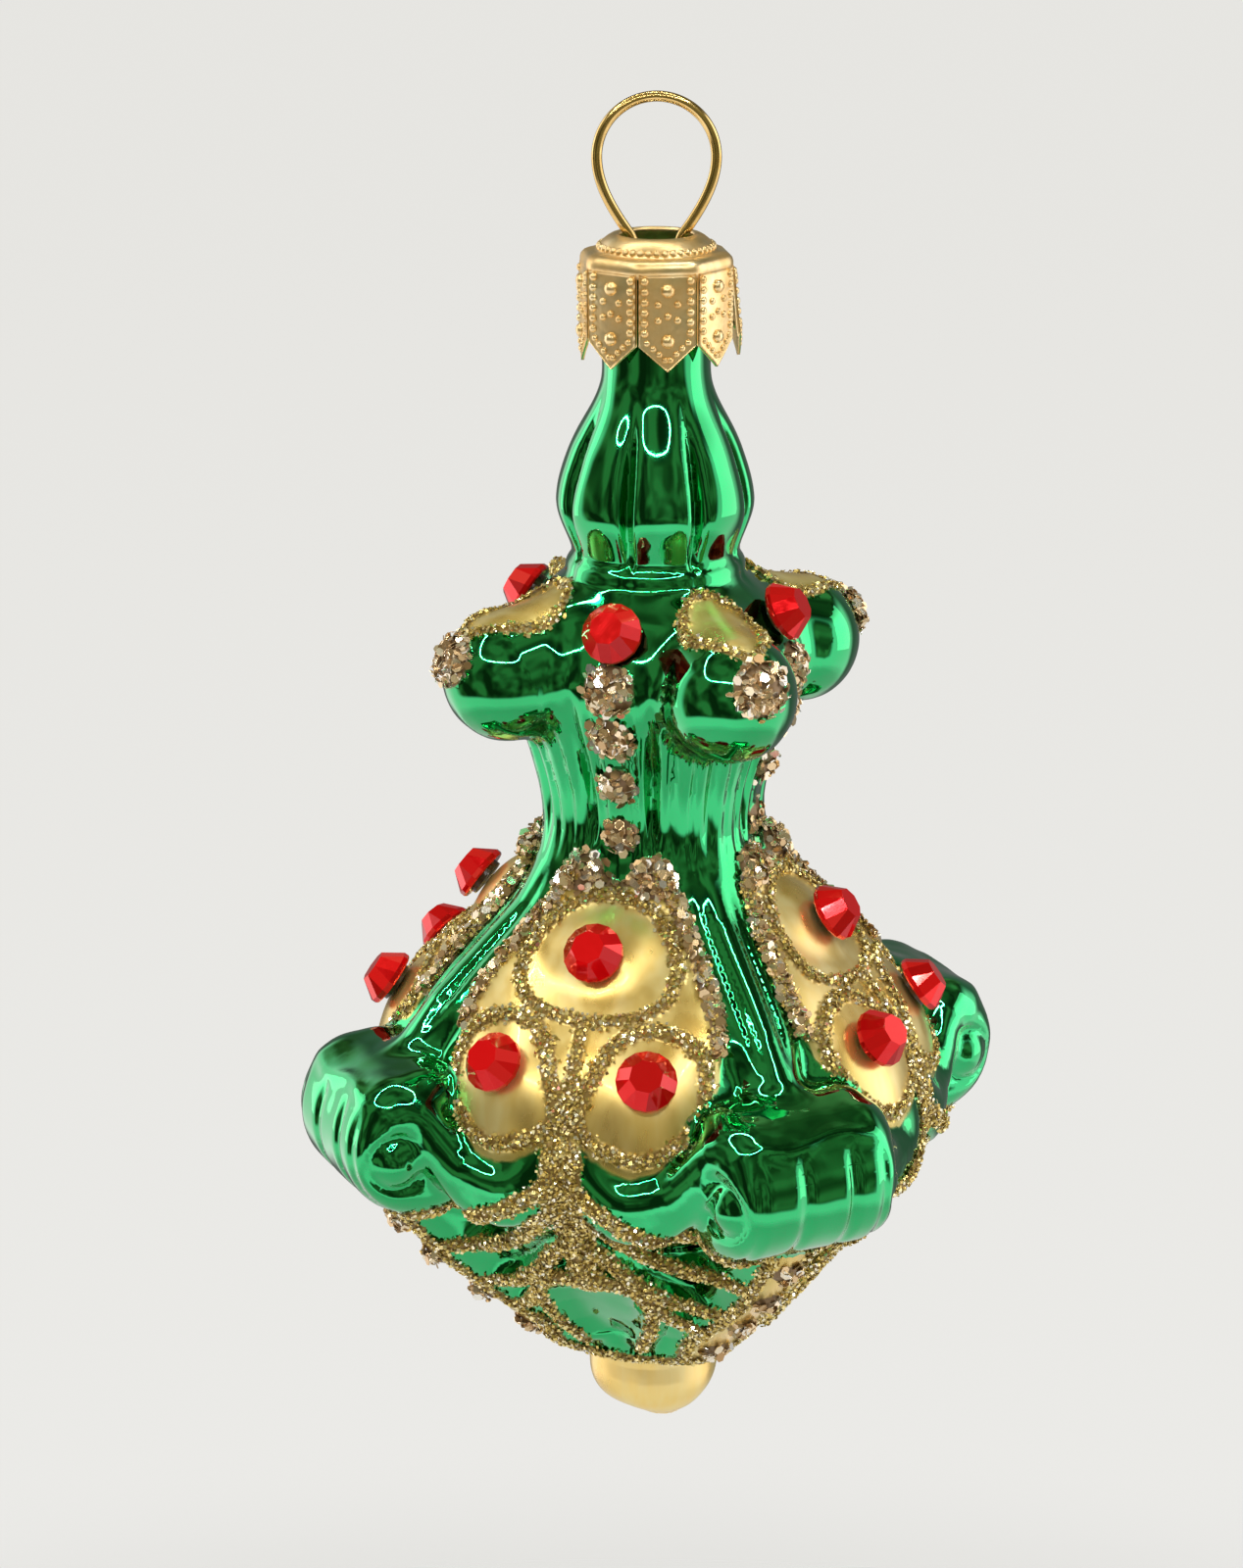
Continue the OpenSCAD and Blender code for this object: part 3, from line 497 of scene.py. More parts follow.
# %% Surface net
def surface_net(field, low, pitch):
    """Points and four-sided faces where a sampled distance changes sign."""
    inside = field < 0
    spots = [(i, j, k) for i in (0, 1) for j in (0, 1) for k in (0, 1)]
    shape = np.array(field.shape) - 1

    def corner(values, spot):
        return values[tuple(slice(s, s + n) for s, n in zip(spot, shape))]

    count = sum(corner(inside, s).astype(np.int8) for s in spots)
    active = (count > 0) & (count < 8)
    cell = np.argwhere(active)
    number = np.full(active.shape, -1)
    number[active] = np.arange(len(cell))
    total, hits = np.zeros((len(cell), 3)), np.zeros(len(cell))
    for a in spots:
        for axis in range(3):
            if a[axis] == 0:
                b = tuple(1 if i == axis else a[i] for i in range(3))
                fa, fb = field[tuple((cell + a).T)], field[tuple((cell + b).T)]
                hit = (fa < 0) != (fb < 0)
                t = fa[hit] / (fa[hit] - fb[hit])
                total[hit] += np.array(a) + t[:, None] * np.subtract(b, a)
                hits += hit
    points = low + pitch * (cell + total / hits[:, None])
    quads = []
    for axis in range(3):
        e1, e2 = np.eye(3, dtype=int)[[(axis + 1) % 3, (axis + 2) % 3]]
        first = np.take(inside, range(shape[axis]), axis)
        second = np.take(inside, range(1, shape[axis] + 1), axis)
        edge = np.argwhere(first != second)
        quad = np.stack([number[tuple((edge - s).T)] for s in (0 * e1, e1, e1 + e2, e2)], axis=1)
        out = first[tuple(edge.T)]
        quads.append(np.where(out[:, None], quad, quad[:, ::-1]))
    return points, np.vstack(quads)


# %% Waves and marks of the blown glass
def waves(x, y, h):
    """Gentle unevenness of hand-blown glass, never outside the mould."""
    slow = np.sin(0.55 * x + 0.31 * h + 0.4) * np.sin(0.47 * y - 0.25 * h + 1.1)
    quick = np.sin(2.1 * x + 0.6 * h + 1.1) * np.sin(1.9 * y + 0.3) * np.sin(1.1 * h + 0.7)
    angle = np.arctan2(y, x)
    streak = (np.sin(31 * angle + 1.3 * np.sin(0.5 * h)) + 0.7 * np.sin(67 * angle + 2.0)) * band(h, 39, 57)
    rough = unit((3.5 - h) / 3) * (1 + np.sin(0.8 * x + 0.4 * y + 0.6) * np.sin(0.7 * y - 0.4 * x))
    return 0.085 + 0.05 * slow + 0.012 * quick + 0.02 * streak + 0.22 * rough


def scroll_marks(x, y, h):
    """Shallow upright grooves on the outside of each scroll, unevenly spaced, and the lip of its roll."""
    p = (np.abs(x) + np.abs(y)) / math.sqrt(2)
    off = (np.abs(y) - np.abs(x)) / math.sqrt(2) * np.sign(x * y)
    tip = np.degrees(np.arctan2(h - ROLL_H, p - REACH))
    near = unit((np.hypot(p - REACH, h - ROLL_H) - 3.2) / 1.2) * unit(7 - np.abs(off))
    lower = unit((38 - tip) / 20) * unit((tip + 85) / 25)
    grooves = 0.24 * bump(off + 1.3, 0.4) + 0.3 * bump(off - 2.1, 0.36) + 0.2 * bump(off - 4.3, 0.4) \
        + 0.15 * bump(off + 4.4, 0.4)
    lip = 0.16 * bump(tip - 44 - 4 * np.cos(0.97 * (off - 1.3)), 6) * unit((5.5 - np.abs(off)) / 3)
    return near * (lower * grooves - lip)


BORE_R, BORE_FLOOR = 2.65, 62


def opened(skin, x, y, h):
    """A skin cut off at the neck and bored out there."""
    bore = np.maximum(np.hypot(x, y) - BORE_R, BORE_FLOOR - h)
    return np.maximum(np.maximum(skin, h - NECK_TOP), -bore)


def hollow(x, y, h):
    """The whole glass, with its waves and marks."""
    return opened(mould(x, y, h) + waves(x, y, h) + scroll_marks(x, y, h), x, y, h)


# %% Sample the rule
PITCH = 0.33
half_axis = (np.arange(65) + 0.5) * PITCH
upright = np.arange(-0.6, NECK_TOP + 0.8, PITCH)
gx, gy, gh = np.meshgrid(half_axis, half_axis, upright, indexing="ij")
quarter = mould(gx.ravel(), gy.ravel(), gh.ravel()).reshape(gx.shape)
field = np.concatenate([quarter[::-1], quarter], axis=0)
field = np.concatenate([field[:, ::-1], field], axis=1)
whole_axis = np.concatenate([-half_axis[::-1], half_axis])
field = opened(field, whole_axis[:, None, None], whole_axis[None, :, None], upright[None, None, :])
points, quads = surface_net(field, np.array([whole_axis[0], whole_axis[0], upright[0]]), PITCH)
print("skin:", len(points), "points,", 2 * len(quads), "triangles")


# %% Slide the points onto the exact skin
def uphill(rule, at, step=0.02):
    """A rule's distance at points, and its slope there."""
    x, y, h = at.T
    middle = rule(x, y, h)
    slope = np.stack([rule(x + step, y, h) - middle, rule(x, y + step, h) - middle,
                      rule(x, y, h + step) - middle], axis=1) / step
    return middle, slope


def settle(at, rounds):
    """Moves points down the slope until they lie on the skin."""
    for _ in range(rounds):
        middle, slope = uphill(hollow, at)
        move = slope * (middle / np.maximum((slope ** 2).sum(1), 0.25))[:, None]
        reach = np.linalg.norm(move, axis=1)
        at = at - move * np.minimum(1, 0.3 / np.maximum(reach, 1e-9))[:, None]
    return at


links = np.vstack([quads[:, [0, 1]], quads[:, [1, 2]], quads[:, [2, 3]], quads[:, [3, 0]]])
one, other = links.T
degree = np.bincount(one, minlength=len(points)) + np.bincount(other, minlength=len(points))
points = settle(points, 2)
for _ in range(2):
    for i in range(3):
        near = np.bincount(one, points[other, i], len(points))
        near = near + np.bincount(other, points[one, i], len(points))
        points[:, i] = 0.5 * points[:, i] + 0.5 * near / degree
    points = settle(points, 1)
points = settle(points, 1)
residue, slope = uphill(hollow, points)
normals = slope / np.linalg.norm(slope, axis=1)[:, None]
print("farthest from the skin:", round(float(np.abs(residue).max()), 3), "mm")

# %% [markdown]
# ## Where the paint and the glitter go
# Each point of the skin gets its distance from three drawn edges: the gold lacquer's, the fine glitter's and
# the coarse glitter's. A distance keeps an edge sharp inside a face of the mesh, where a plain yes or no
# would make steps. Glitter sits in a thick glue line, so the skin swells there.

# %% Distances from the drawn edges
x, y, h = points.T
u, v, p, q, turn = folded(x, y)
across, up = unrolled(turn, h)
bell = (h > 5) & (h < 43.5)
far = np.full(len(points), 9.0)


def only(where, distance):
    return np.where(where, distance, far)


def leaf_edge():
    """Signed distance from the leaf painted on top of a roof lobe."""
    t = unit((p - 6.2) / 7.4)
    half_width = 2.4 * np.sin(np.pi * t ** 0.8) ** 0.75
    return np.maximum(q - half_width, np.maximum(6.4 - p, p - 13.4))


def lines_edge(*lines):
    """Distance from the edge of glue lines, each with its half width."""
    return nearest(only(bell, far_from_line(across, up, line) - half_width) for line, half_width in lines)


roof = (h > 53.5) & (h < 62) & (normals[:, 2] > 0.05) & (p > 4.5)
on_strip = (h > 7) & (h < 19.5) & (p > 5)
clear = np.maximum(0.4 - scroll(p, q, h), 0.12 - ribbon(u, v, h))
petal = np.maximum(only(bell, far_from_petal(across, up)), clear + 0.2)
leaf = only(roof, leaf_edge())
strip_edge = only(on_strip, q - 1.35 - 0.6 * bump(h - 9, 2.5))
gold = nearest([petal, leaf, strip_edge, only(h < 7.0, h - 6.4)])

leaf_lines = [(STEM, 1.35), (ARCH, 0.42), (FOOT_RING, 0.55), *zip(VEINS, (0.6, 0.58, 0.55, 0.5))]
fine_lines = {
    "petal": np.maximum(clear, lines_edge((TOP_RING, 0.42), (LOW_RING, 0.48), (MIDDLE, 0.42), (TRAIL, 0.45))),
    "leaf": np.minimum(lines_edge(*leaf_lines), only(on_strip, np.abs(strip_edge) - 0.35)),
    "roof": only(roof, np.abs(leaf) - 0.35),
}
fine_edge = nearest(fine_lines.values())
print("gold:", int((gold < 0).sum()), "fine glitter:", int((fine_edge < 0).sum()), "points")


# %% Dabs of glue
def skin_radius(turn_now, height):
    """Walks in from outside to the CAD skin."""
    r = 30.0
    c, s = math.cos(math.radians(turn_now)), math.sin(math.radians(turn_now))
    for _ in range(48):
        gap = mould(np.array([r * c]), np.array([r * s]), np.array([height]), False)[0]
        r = max(0.1, r - 0.85 * float(gap))
    return r


def dab(turn_now, height, size):
    """Distance from a round dab of glue on the middle of a face, at turn 0, or on a corner, at 45."""
    out, aside = (u, v) if turn_now == 0 else (p, q)
    return np.sqrt((out - skin_radius(turn_now, height)) ** 2 + aside ** 2 + (h - height) ** 2) - size


ear = unrolled(*EAR)
ear_edge = only(bell, np.hypot(across - ear[0], up - ear[1]) - 1.25)
coarse_spots = {
    "column": nearest(dab(0, z, 0.56 * d) for z, d in ((54.0, 3.0), (50.53, 2.7), (47.07, 2.4), (43.6, 2.1))),
    "roof": dab(45, 55.3, 1.8),
    "bowl": nearest(dab(45, z, 0.95) for z in (17.6, 14.43, 11.27, 8.1)),
    "petal": np.maximum(clear, np.minimum(ear_edge, lines_edge((TRAIL, 0.42), (CROWN_BAND, 0.25)))),
}
coarse_edge = nearest(coarse_spots.values())
lift = 0.28 * unit(-fine_edge / 0.5) ** 0.6
for spot, depth in (("column", 0.5), ("roof", 0.6), ("bowl", 0.5), ("petal", 0.35)):
    lift = np.maximum(lift, depth * unit(-coarse_spots[spot]) ** 0.7)
print("coarse glitter:", int((coarse_edge < 0).sum()), "points")

# %% [markdown]
# ## Glass, lacquer and glue in one material
# The lantern is silvered inside and lacquered green outside, so it acts like a coloured mirror: the silver
# reflects, the lacquer tints, and a clear skin over it adds white highlights. Gold lacquer is brushed over
# that and is satin, with brush marks and thin greenish edges. The three distances choose between them.

# %% Glass material
glass, tree, shader = new_material("green_mirror_glass")
gold_mask, fine_mask, coarse_mask = (
    place_group(tree, edge_group, Distance=attribute(tree, name), Softness=soft, Wander=wander, Scale=scale)
    for name, soft, wander, scale in (("gold_edge", 0.12, 0.5, 700.0), ("fine_edge", 0.1, 0.3, 2500.0),
                                      ("coarse_edge", 0.1, 0.3, 1800.0)))
silver_mask = attribute(tree, "bore")
clouds = grain(tree, 130.0, 0.6)
green = ramp(tree, clouds, (0.3, (0.003, 0.37, 0.10)), (0.55, (0.008, 0.47, 0.14)),
             (0.75, (0.02, 0.56, 0.19)))
brush = grain(tree, 420.0, 0.25)
thin = span(tree, attribute(tree, "gold_edge"), -1.6, -0.1)
lacquer = ramp(tree, brush, (0.3, (0.95, 0.62, 0.15)), (0.5, (1.0, 0.73, 0.24)), (0.72, (1.0, 0.84, 0.40)))
lacquer = mix_colour(tree, calc(tree, "MULTIPLY", thin, 0.45), lacquer, (0.42, 0.40, 0.10, 1))
colour = mix_colour(tree, gold_mask, green, lacquer)
colour = mix_colour(tree, fine_mask, colour, (0.30, 0.19, 0.05, 1))
colour = mix_colour(tree, coarse_mask, colour, (0.24, 0.15, 0.07, 1))
colour = mix_colour(tree, silver_mask, colour, (0.86, 0.87, 0.84, 1))
bed_mask = calc(tree, "MAXIMUM", fine_mask, coarse_mask)
paint_mask = calc(tree, "MAXIMUM", gold_mask, bed_mask)
satin = span(tree, brush, 0.3, 0.75, 0.24, 0.42)
rough = add(tree, "ShaderNodeMix", {0: gold_mask, 2: 0.05, 3: satin}).outputs[0]
rough = add(tree, "ShaderNodeMix", {0: bed_mask, 2: rough, 3: 0.5}).outputs[0]
dulled = calc(tree, "MULTIPLY", paint_mask, span(tree, bed_mask, 0.0, 1.0, 0.18, 0.35))
ripple = calc(tree, "MULTIPLY", calc(tree, "SUBTRACT", 1.0, gold_mask), calc(tree, "MULTIPLY", clouds, 0.25))
height = calc(tree, "ADD", calc(tree, "MULTIPLY", brush, calc(tree, "MULTIPLY", gold_mask, 0.25)), ripple)
bumps = add(tree, "ShaderNodeBump", {"Strength": 0.25, "Distance": 0.0001, "Height": height})
dress(tree, shader, {
    "Base Color": colour, "Roughness": rough, "Metallic": calc(tree, "SUBTRACT", 1.0, dulled),
    "Coat Weight": span(tree, paint_mask, 0.0, 1.0, 0.8, 0.25), "Coat Roughness": 0.01,
    "Normal": bumps.outputs[0]})
print("glass material:", len(tree.nodes), "nodes")

# %% Glass body
body_points = points + normals * lift[:, None] + [0, 0, FOOT_Z]
glass_piece = new_piece("glass_lantern", body_points, quads.tolist(), glass)
mesh = glass_piece.data
face_normals = np.empty(len(mesh.vertices) * 3)
mesh.vertices.foreach_get("normal", face_normals)
shown = np.where((lift > 0.01)[:, None], face_normals.reshape(-1, 3), normals)
mesh.normals_split_custom_set_from_vertices(shown.tolist())
bore_mask = ((np.hypot(x, y) < BORE_R + 0.25) & (h > BORE_FLOOR - 1)).astype(float)
for name, values in (("gold_edge", gold), ("fine_edge", fine_edge), ("coarse_edge", coarse_edge),
                     ("bore", bore_mask)):
    keep_values(mesh, name, values)
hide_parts("glass_body")
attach(glass_piece, "glass")
print("glass body:", len(mesh.polygons), "faces")

# %% [markdown]
# ## Glitter
# Glitter is thousands of tiny cut flakes that lie at random angles in the glue. Fine gold flakes make the
# outlines, and coarse bronze ones the dabs and trails. Geometry Nodes scatter them: points over a patch of
# the skin, one thin prism on each point, tilted at random, with a random value to vary its colour.

# %% Geometry Nodes helpers
def new_tree(name, inputs):
    tree = bpy.data.node_groups.new(name, "GeometryNodeTree")
    tree.interface.new_socket("Geometry", in_out="INPUT", socket_type="NodeSocketGeometry")
    for label, kind, value in inputs:
        made = tree.interface.new_socket(label, in_out="INPUT", socket_type="NodeSocket" + kind)
        if value is not None:
            made.default_value = value
    tree.interface.new_socket("Geometry", in_out="OUTPUT", socket_type="NodeSocketGeometry")
    return tree, tree.nodes.new("NodeGroupInput").outputs, tree.nodes.new("NodeGroupOutput").inputs[0]


def grown(piece, tree, **values):
    """Runs a tree on a piece and keeps the result as its plain mesh."""
    modifier = piece.modifiers.new("nodes", "NODES")
    modifier.node_group = tree
    for item in tree.interface.items_tree:
        if item.item_type == "SOCKET" and item.in_out == "INPUT" and item.name in values:
            modifier[item.identifier] = values[item.name]
    bpy.context.view_layer.update()
    made = bpy.data.meshes.new_from_object(piece.evaluated_get(bpy.context.evaluated_depsgraph_get()))
    piece.modifiers.remove(modifier)
    old, piece.data = piece.data, made
    made.name = piece.name
    bpy.data.meshes.remove(old)


def named(tree, name, kind="FLOAT"):
    return add(tree, "GeometryNodeInputNamedAttribute", {"Name": name}, data_type=kind).outputs[0]


def chance(tree, low, high, seed):
    node = add(tree, "FunctionNodeRandomValue", {2: low, 3: high, "Seed": seed}, data_type="FLOAT")
    return node.outputs[1]


def end_tree(tree, result, geometry, smooth, material):
    """The end of a tree: one plain mesh, its shading and its material."""
    real = add(tree, "GeometryNodeRealizeInstances", (geometry,))
    shaded = add(tree, "GeometryNodeSetShadeSmooth", {"Geometry": real.outputs[0], "Shade Smooth": smooth})
    painted = add(tree, "GeometryNodeSetMaterial", {"Geometry": shaded.outputs[0], "Material": material})
    feed(tree, result, painted.outputs[0])


# %% Flake tree
flake_tree, given, result = new_tree("scattered_flakes", [
    ("Density", "Float", 2e7), ("Width", "Float", 0.0003), ("Thickness", "Float", 0.00004),
    ("Sides", "Int", 4), ("Tilt", "Float", 0.8), ("Lift", "Float", 0.0001), ("Seed", "Int", 1),
    ("Material", "Material", None)])
density = calc(flake_tree, "MULTIPLY", named(flake_tree, "room"), given["Density"])
scatter = add(flake_tree, "GeometryNodeDistributePointsOnFaces", {
    "Mesh": given["Geometry"], "Density": density, "Seed": given["Seed"]})
offset = add(flake_tree, "ShaderNodeVectorMath", {
    0: scatter.outputs["Normal"], "Scale": chance(flake_tree, 0.0, given["Lift"], 3)}, operation="SCALE")
lifted = add(flake_tree, "GeometryNodeSetPosition", {
    "Geometry": scatter.outputs["Points"], "Offset": offset.outputs[0]})
marked = add(flake_tree, "GeometryNodeStoreNamedAttribute", {
    "Geometry": lifted.outputs[0], "Name": "glint", "Value": chance(flake_tree, 0.0, 1.0, 5)},
    data_type="FLOAT", domain="POINT")
least = calc(flake_tree, "MULTIPLY", given["Tilt"], -1.0)
tip = add(flake_tree, "ShaderNodeCombineXYZ", (
    chance(flake_tree, least, given["Tilt"], 7), chance(flake_tree, least, given["Tilt"], 8),
    chance(flake_tree, 0.0, 6.283, 9)))
tipped = add(flake_tree, "FunctionNodeRotateRotation", {
    "Rotation": scatter.outputs["Rotation"],
    "Rotate By": add(flake_tree, "FunctionNodeEulerToRotation", (tip.outputs[0],)).outputs[0]},
    rotation_space="LOCAL")
chip = add(flake_tree, "GeometryNodeMeshCylinder", {
    "Vertices": given["Sides"], "Radius": calc(flake_tree, "MULTIPLY", given["Width"], 0.5),
    "Depth": given["Thickness"]})
placed = add(flake_tree, "GeometryNodeInstanceOnPoints", {
    "Points": marked.outputs[0], "Instance": chip.outputs[0], "Rotation": tipped.outputs[0],
    "Scale": chance(flake_tree, 0.7, 1.25, 11)})
end_tree(flake_tree, result, placed.outputs[0], False, given["Material"])
print("flake tree:", len(flake_tree.nodes), "nodes")

# %% Glitter materials
def flake_material(name, metallic, dull, bright, *stops):
    """Flakes whose colour and roughness follow their random value."""
    made, tree, shader = new_material(name)
    glint = attribute(tree, "glint")
    dress(tree, shader, {"Base Color": ramp(tree, glint, *stops), "Metallic": metallic,
                         "Roughness": span(tree, glint, 0.0, 1.0, dull, bright)})
    return made


fine_glitter = flake_material(
    "fine_gold_flakes", 0.85, 0.32, 0.14, (0.0, (0.44, 0.30, 0.06)), (0.4, (0.80, 0.61, 0.18)),
    (0.75, (0.98, 0.83, 0.40)), (1.0, (1.0, 0.96, 0.80)))
coarse_glitter = flake_material(
    "coarse_bronze_flakes", 0.8, 0.3, 0.12, (0.0, (0.44, 0.27, 0.12)), (0.35, (0.76, 0.55, 0.30)),
    (0.7, (0.95, 0.79, 0.54)), (1.0, (1.0, 0.97, 0.90)))
print("glitter materials:", fine_glitter.name, coarse_glitter.name)

# %% Scatter the glitter
face_points = points[quads].mean(1)
side_turn = np.degrees(np.arctan2(face_points[:, 1], face_points[:, 0]))
face_number = ((side_turn + 135) // 90).astype(int) % 4
corner_number = ((side_turn + 90) // 90).astype(int) % 4


def scattered(name, edge, owned, material, seed, sizes):
    """One patch of flakes over the owned faces of the skin inside a drawn edge."""
    keep = owned & (edge[quads].mean(1) < 0.12)
    used, local = np.unique(quads[keep], return_inverse=True)
    made = new_piece(name, body_points[used], local.reshape(-1, 4).tolist(), material)
    keep_values(made.data, "room", unit(0.3 - edge[used] / 0.25))
    grown(made, flake_tree, Seed=seed, Material=material, **sizes)
    return made


FINE = (fine_glitter, "gold_glitter",
        dict(Density=3.0e7, Width=0.00028, Thickness=0.00003, Sides=4, Tilt=0.75, Lift=0.00016))
COARSE = (coarse_glitter, "bronze_glitter",
          dict(Density=9e6, Width=0.0006, Thickness=0.00005, Sides=6, Tilt=0.9, Lift=0.0003))
PATCHES = [("petal_glitter_", fine_lines["petal"], face_number, FINE, 10, "petal_bead_"),
           ("leaf_glitter_", fine_lines["leaf"], face_number, FINE, 20, "leaf_bead_"),
           ("roof_glitter_", fine_lines["roof"], corner_number, FINE, 30, "roof_bead_"),
           ("petal_chips_", coarse_spots["petal"], face_number, COARSE, 40, None),
           ("column_chips_", coarse_spots["column"], face_number, COARSE, 50, "column_dabs_"),
           ("roof_chips_", coarse_spots["roof"], corner_number, COARSE, 60, "roof_dab_"),
           ("bowl_chips_", coarse_spots["bowl"], corner_number, COARSE, 70, "bowl_dabs_")]
flakes = 0
for i, face in enumerate(FACES):
    for name, edge, owner, (material, slot, sizes), seed, node in PATCHES:
        piece = scattered(name + face, edge, owner == i, material, seed + i, sizes)
        if node:
            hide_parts(node + face)
        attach(piece, "glass")
        flakes += len(piece.data.polygons)
print("glitter faces:", flakes)

# %% [markdown]
# ## Red stones
# The stones are flat-backed rhinestones: pressed red crystal with a mirror foil behind it, so they flash
# from inside. Each has a round girdle, sixteen facets and a flat table on top. Facets must stay flat, so the
# mesh is not smoothed. Each facet gets a random value that picks a darker or brighter red: a painted
# reflection of the foil's flash.

# %% Stone material
crystal, tree, shader = new_material("red_crystal")
# Each facet's random value picks its red, from dark to pinkish bright: painted reflection of the foil.
painted_reflection_reds = ramp(tree, attribute(tree, "facet"), (0.0, (0.40, 0.001, 0.002)), (0.4, (0.72, 0.003, 0.005)),
            (0.75, (0.98, 0.008, 0.010)), (1.0, (1.0, 0.08, 0.06)))
smears = grain(tree, 1500.0)
dress(tree, shader, {
    "Base Color": painted_reflection_reds, "Roughness": span(tree, smears, 0.3, 0.7, 0.04, 0.11), "Metallic": 0.4,
    "Specular IOR Level": 0.15, "Coat Weight": 0.4, "Coat Roughness": 0.02})
print("stone material:", len(tree.nodes), "nodes")


# %% One stone
def stone_shape():
    """Points and faces of one stone, standing on its back at the origin."""
    ring = np.radians(np.arange(16) * 22.5 + 11.25)
    eight = np.radians(np.arange(8) * 45 + 22.5)
    rows = [(1.86, 0.0, ring), (1.95, 0.12, ring), (1.95, 0.42, ring), (1.07, 1.7, eight)]
    made = np.vstack([on_ring(r, a, z) for r, z, a in rows])
    faces = [list(range(15, -1, -1))]
    for row in (0, 16):
        faces += [[row + k, row + (k + 1) % 16, row + 16 + (k + 1) % 16, row + 16 + k] for k in range(16)]
    for k in range(8):
        a, b, c = 32 + 2 * k, 32 + (2 * k + 1) % 16, 32 + (2 * k + 2) % 16
        faces += [[a, b, 48 + k], [b, c, 48 + (k + 1) % 8, 48 + k]]
    return made, faces + [list(range(48, 56))]


stone_points, stone_faces = stone_shape()
print("one stone:", len(stone_faces), "faces")


# %% Stones on their seats
def cad_skin(x, y, h):
    return mould(x, y, h, False)


def seat(turn_now, height):
    """Place on the CAD skin and the turn that stands a stone up there."""
    r = skin_radius(turn_now, height)
    spot = on_ring(r, math.radians(turn_now), height)
    out = uphill(cad_skin, spot[None, :], 0.05)[1][0]
    return spot, np.array(Vector(out).normalized().to_track_quat("Z", "Y").to_matrix())


EAVE_H, PAD_T = 57.2, 0.35
chooser = np.random.default_rng(7)
top_h, low_h = PETAL_H + TOP_UP * math.cos(TILT) + 0.4, PETAL_H + LOW_UP * math.cos(TILT)
low_turn = math.degrees(LOW_ACROSS / (core_r(low_h) + SWELL))
for i, face in enumerate(FACES):
    middle = 90 * i - 90
    places = [(middle, EAVE_H), (middle, top_h)] + [(middle + t, low_h + 0.3) for t in (-low_turn, low_turn)]
    all_points, all_faces, tones = [], [], []
    for turn_now, height in places:
        spot, stand = seat(turn_now, height)
        spin = np.array(Matrix.Rotation(chooser.uniform(0, 6.28), 3, "Z"))
        all_faces += [[n + len(stone_points) * len(all_points) for n in f] for f in stone_faces]
        all_points.append((stone_points + [0, 0, PAD_T]) @ (stand @ spin).T + spot + [0, 0, FOOT_Z])
        # Random values for the painted reflection on each facet.
        tones += chooser.uniform(0.1, 0.9, len(stone_faces)).tolist()
    stones = new_piece("red_stones_" + face, np.vstack(all_points), all_faces, crystal, smooth=False)
    keep_values(stones.data, "facet", tones, "FACE")
    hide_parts(*[n + face for n in ("eave_stone_", "petal_stone_top_", "petal_stone_left_",
                                             "petal_stone_right_")])
    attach(stones, "glass")
print("stones:", len(FACES) * len(places))

# %% [markdown]
# ## Glue
# A drop of glue holds each stone; its near-black colour is painted shade, for the shadow under the
# stone. The CAD pads have the right shape and place, so they stay and only get a material.

# %% Glue material
glue, tree, shader = new_material("glue_with_painted_shade")
spots = grain(tree, 900.0)
# The glue's near-black colour is painted shade under each stone, on a real glue pad.
dress(tree, shader, {
    "Base Color": ramp(tree, spots, (0.35, (0.03, 0.018, 0.008)), (0.65, (0.10, 0.06, 0.02))),
    "Roughness": span(tree, spots, 0.3, 0.7, 0.15, 0.35)})
pads = frame["nodes"]["glue_pads"]
pads.data.materials.clear()
pads.data.materials.append(glue)
print("glue:", len(pads.data.polygons), "faces")

# %% [markdown]
# ## Pressed cap
# The cap is stamped from thin brass-coloured sheet: a collared plate, a rounded shoulder and eight pointed
# tabs that hug the neck, embossed with rows of beads. The sheet is lofted from rings of points, each tab is a
# closed slab, and Geometry Nodes set the beads.

# %% Cap material
sheet, tree, shader = new_material("pressed_gold_sheet")
wear = grain(tree, 600.0)
golds = ramp(tree, wear, (0.3, (0.86, 0.58, 0.24)), (0.55, (0.97, 0.72, 0.36)), (0.75, (1.0, 0.82, 0.48)))
pits = grain(tree, 2500.0)
bumps = add(tree, "ShaderNodeBump", {"Strength": 0.3, "Distance": 0.00006, "Height": pits})
dress(tree, shader, {
    "Base Color": golds, "Roughness": span(tree, wear, 0.25, 0.75, 0.44, 0.32), "Metallic": 1.0,
    "Normal": bumps.outputs[0]})
print("cap material:", len(tree.nodes), "nodes")

# %% Cap plate
TABS, RING_N, CAP_TURN = 8, 96, math.radians(27)


def octagon(angle):
    """How far out the side of an octagon lies at an angle, for flats at 1, with softened corners."""
    off = (angle + math.pi / TABS) % (2 * math.pi / TABS) - math.pi / TABS
    return 1 / np.maximum(np.cos(off), math.cos(math.pi / TABS * 0.86))


cap_ring = np.linspace(0, 2 * math.pi, RING_N, endpoint=False)
sharp = octagon(cap_ring)
profile = [(2.35, 0.80, 0), (2.36, 0.94, 0), (2.46, 1.04, 0), (2.62, 1.06, 0), (2.85, 1.0, 0), (3.1, 0.86, 0),
           (3.35, 0.66, 0), (3.55, 0.44, 0), (3.68, 0.22, 0.1), (3.8, 0.06, 0.3), (3.95, 0.0, 0.7),
           (4.2, -0.03, 1), (4.42, -0.12, 1), (4.58, -0.3, 1), (4.65, -0.55, 1), (4.65, -1.1, 1),
           (4.58, -1.1, 1), (4.42, -1.1, 1), (4.4, -0.6, 1), (4.25, -0.34, 1), (4.0, -0.25, 1),
           (3.7, -0.2, 0.6), (3.4, 0.1, 0), (3.1, 0.5, 0), (2.8, 0.72, 0), (2.6, 0.8, 0), (2.45, 0.8, 0)]
plate = np.vstack([on_ring(r * (1 + (sharp - 1) * k), cap_ring, z) for r, z, k in profile])
cap_faces = []
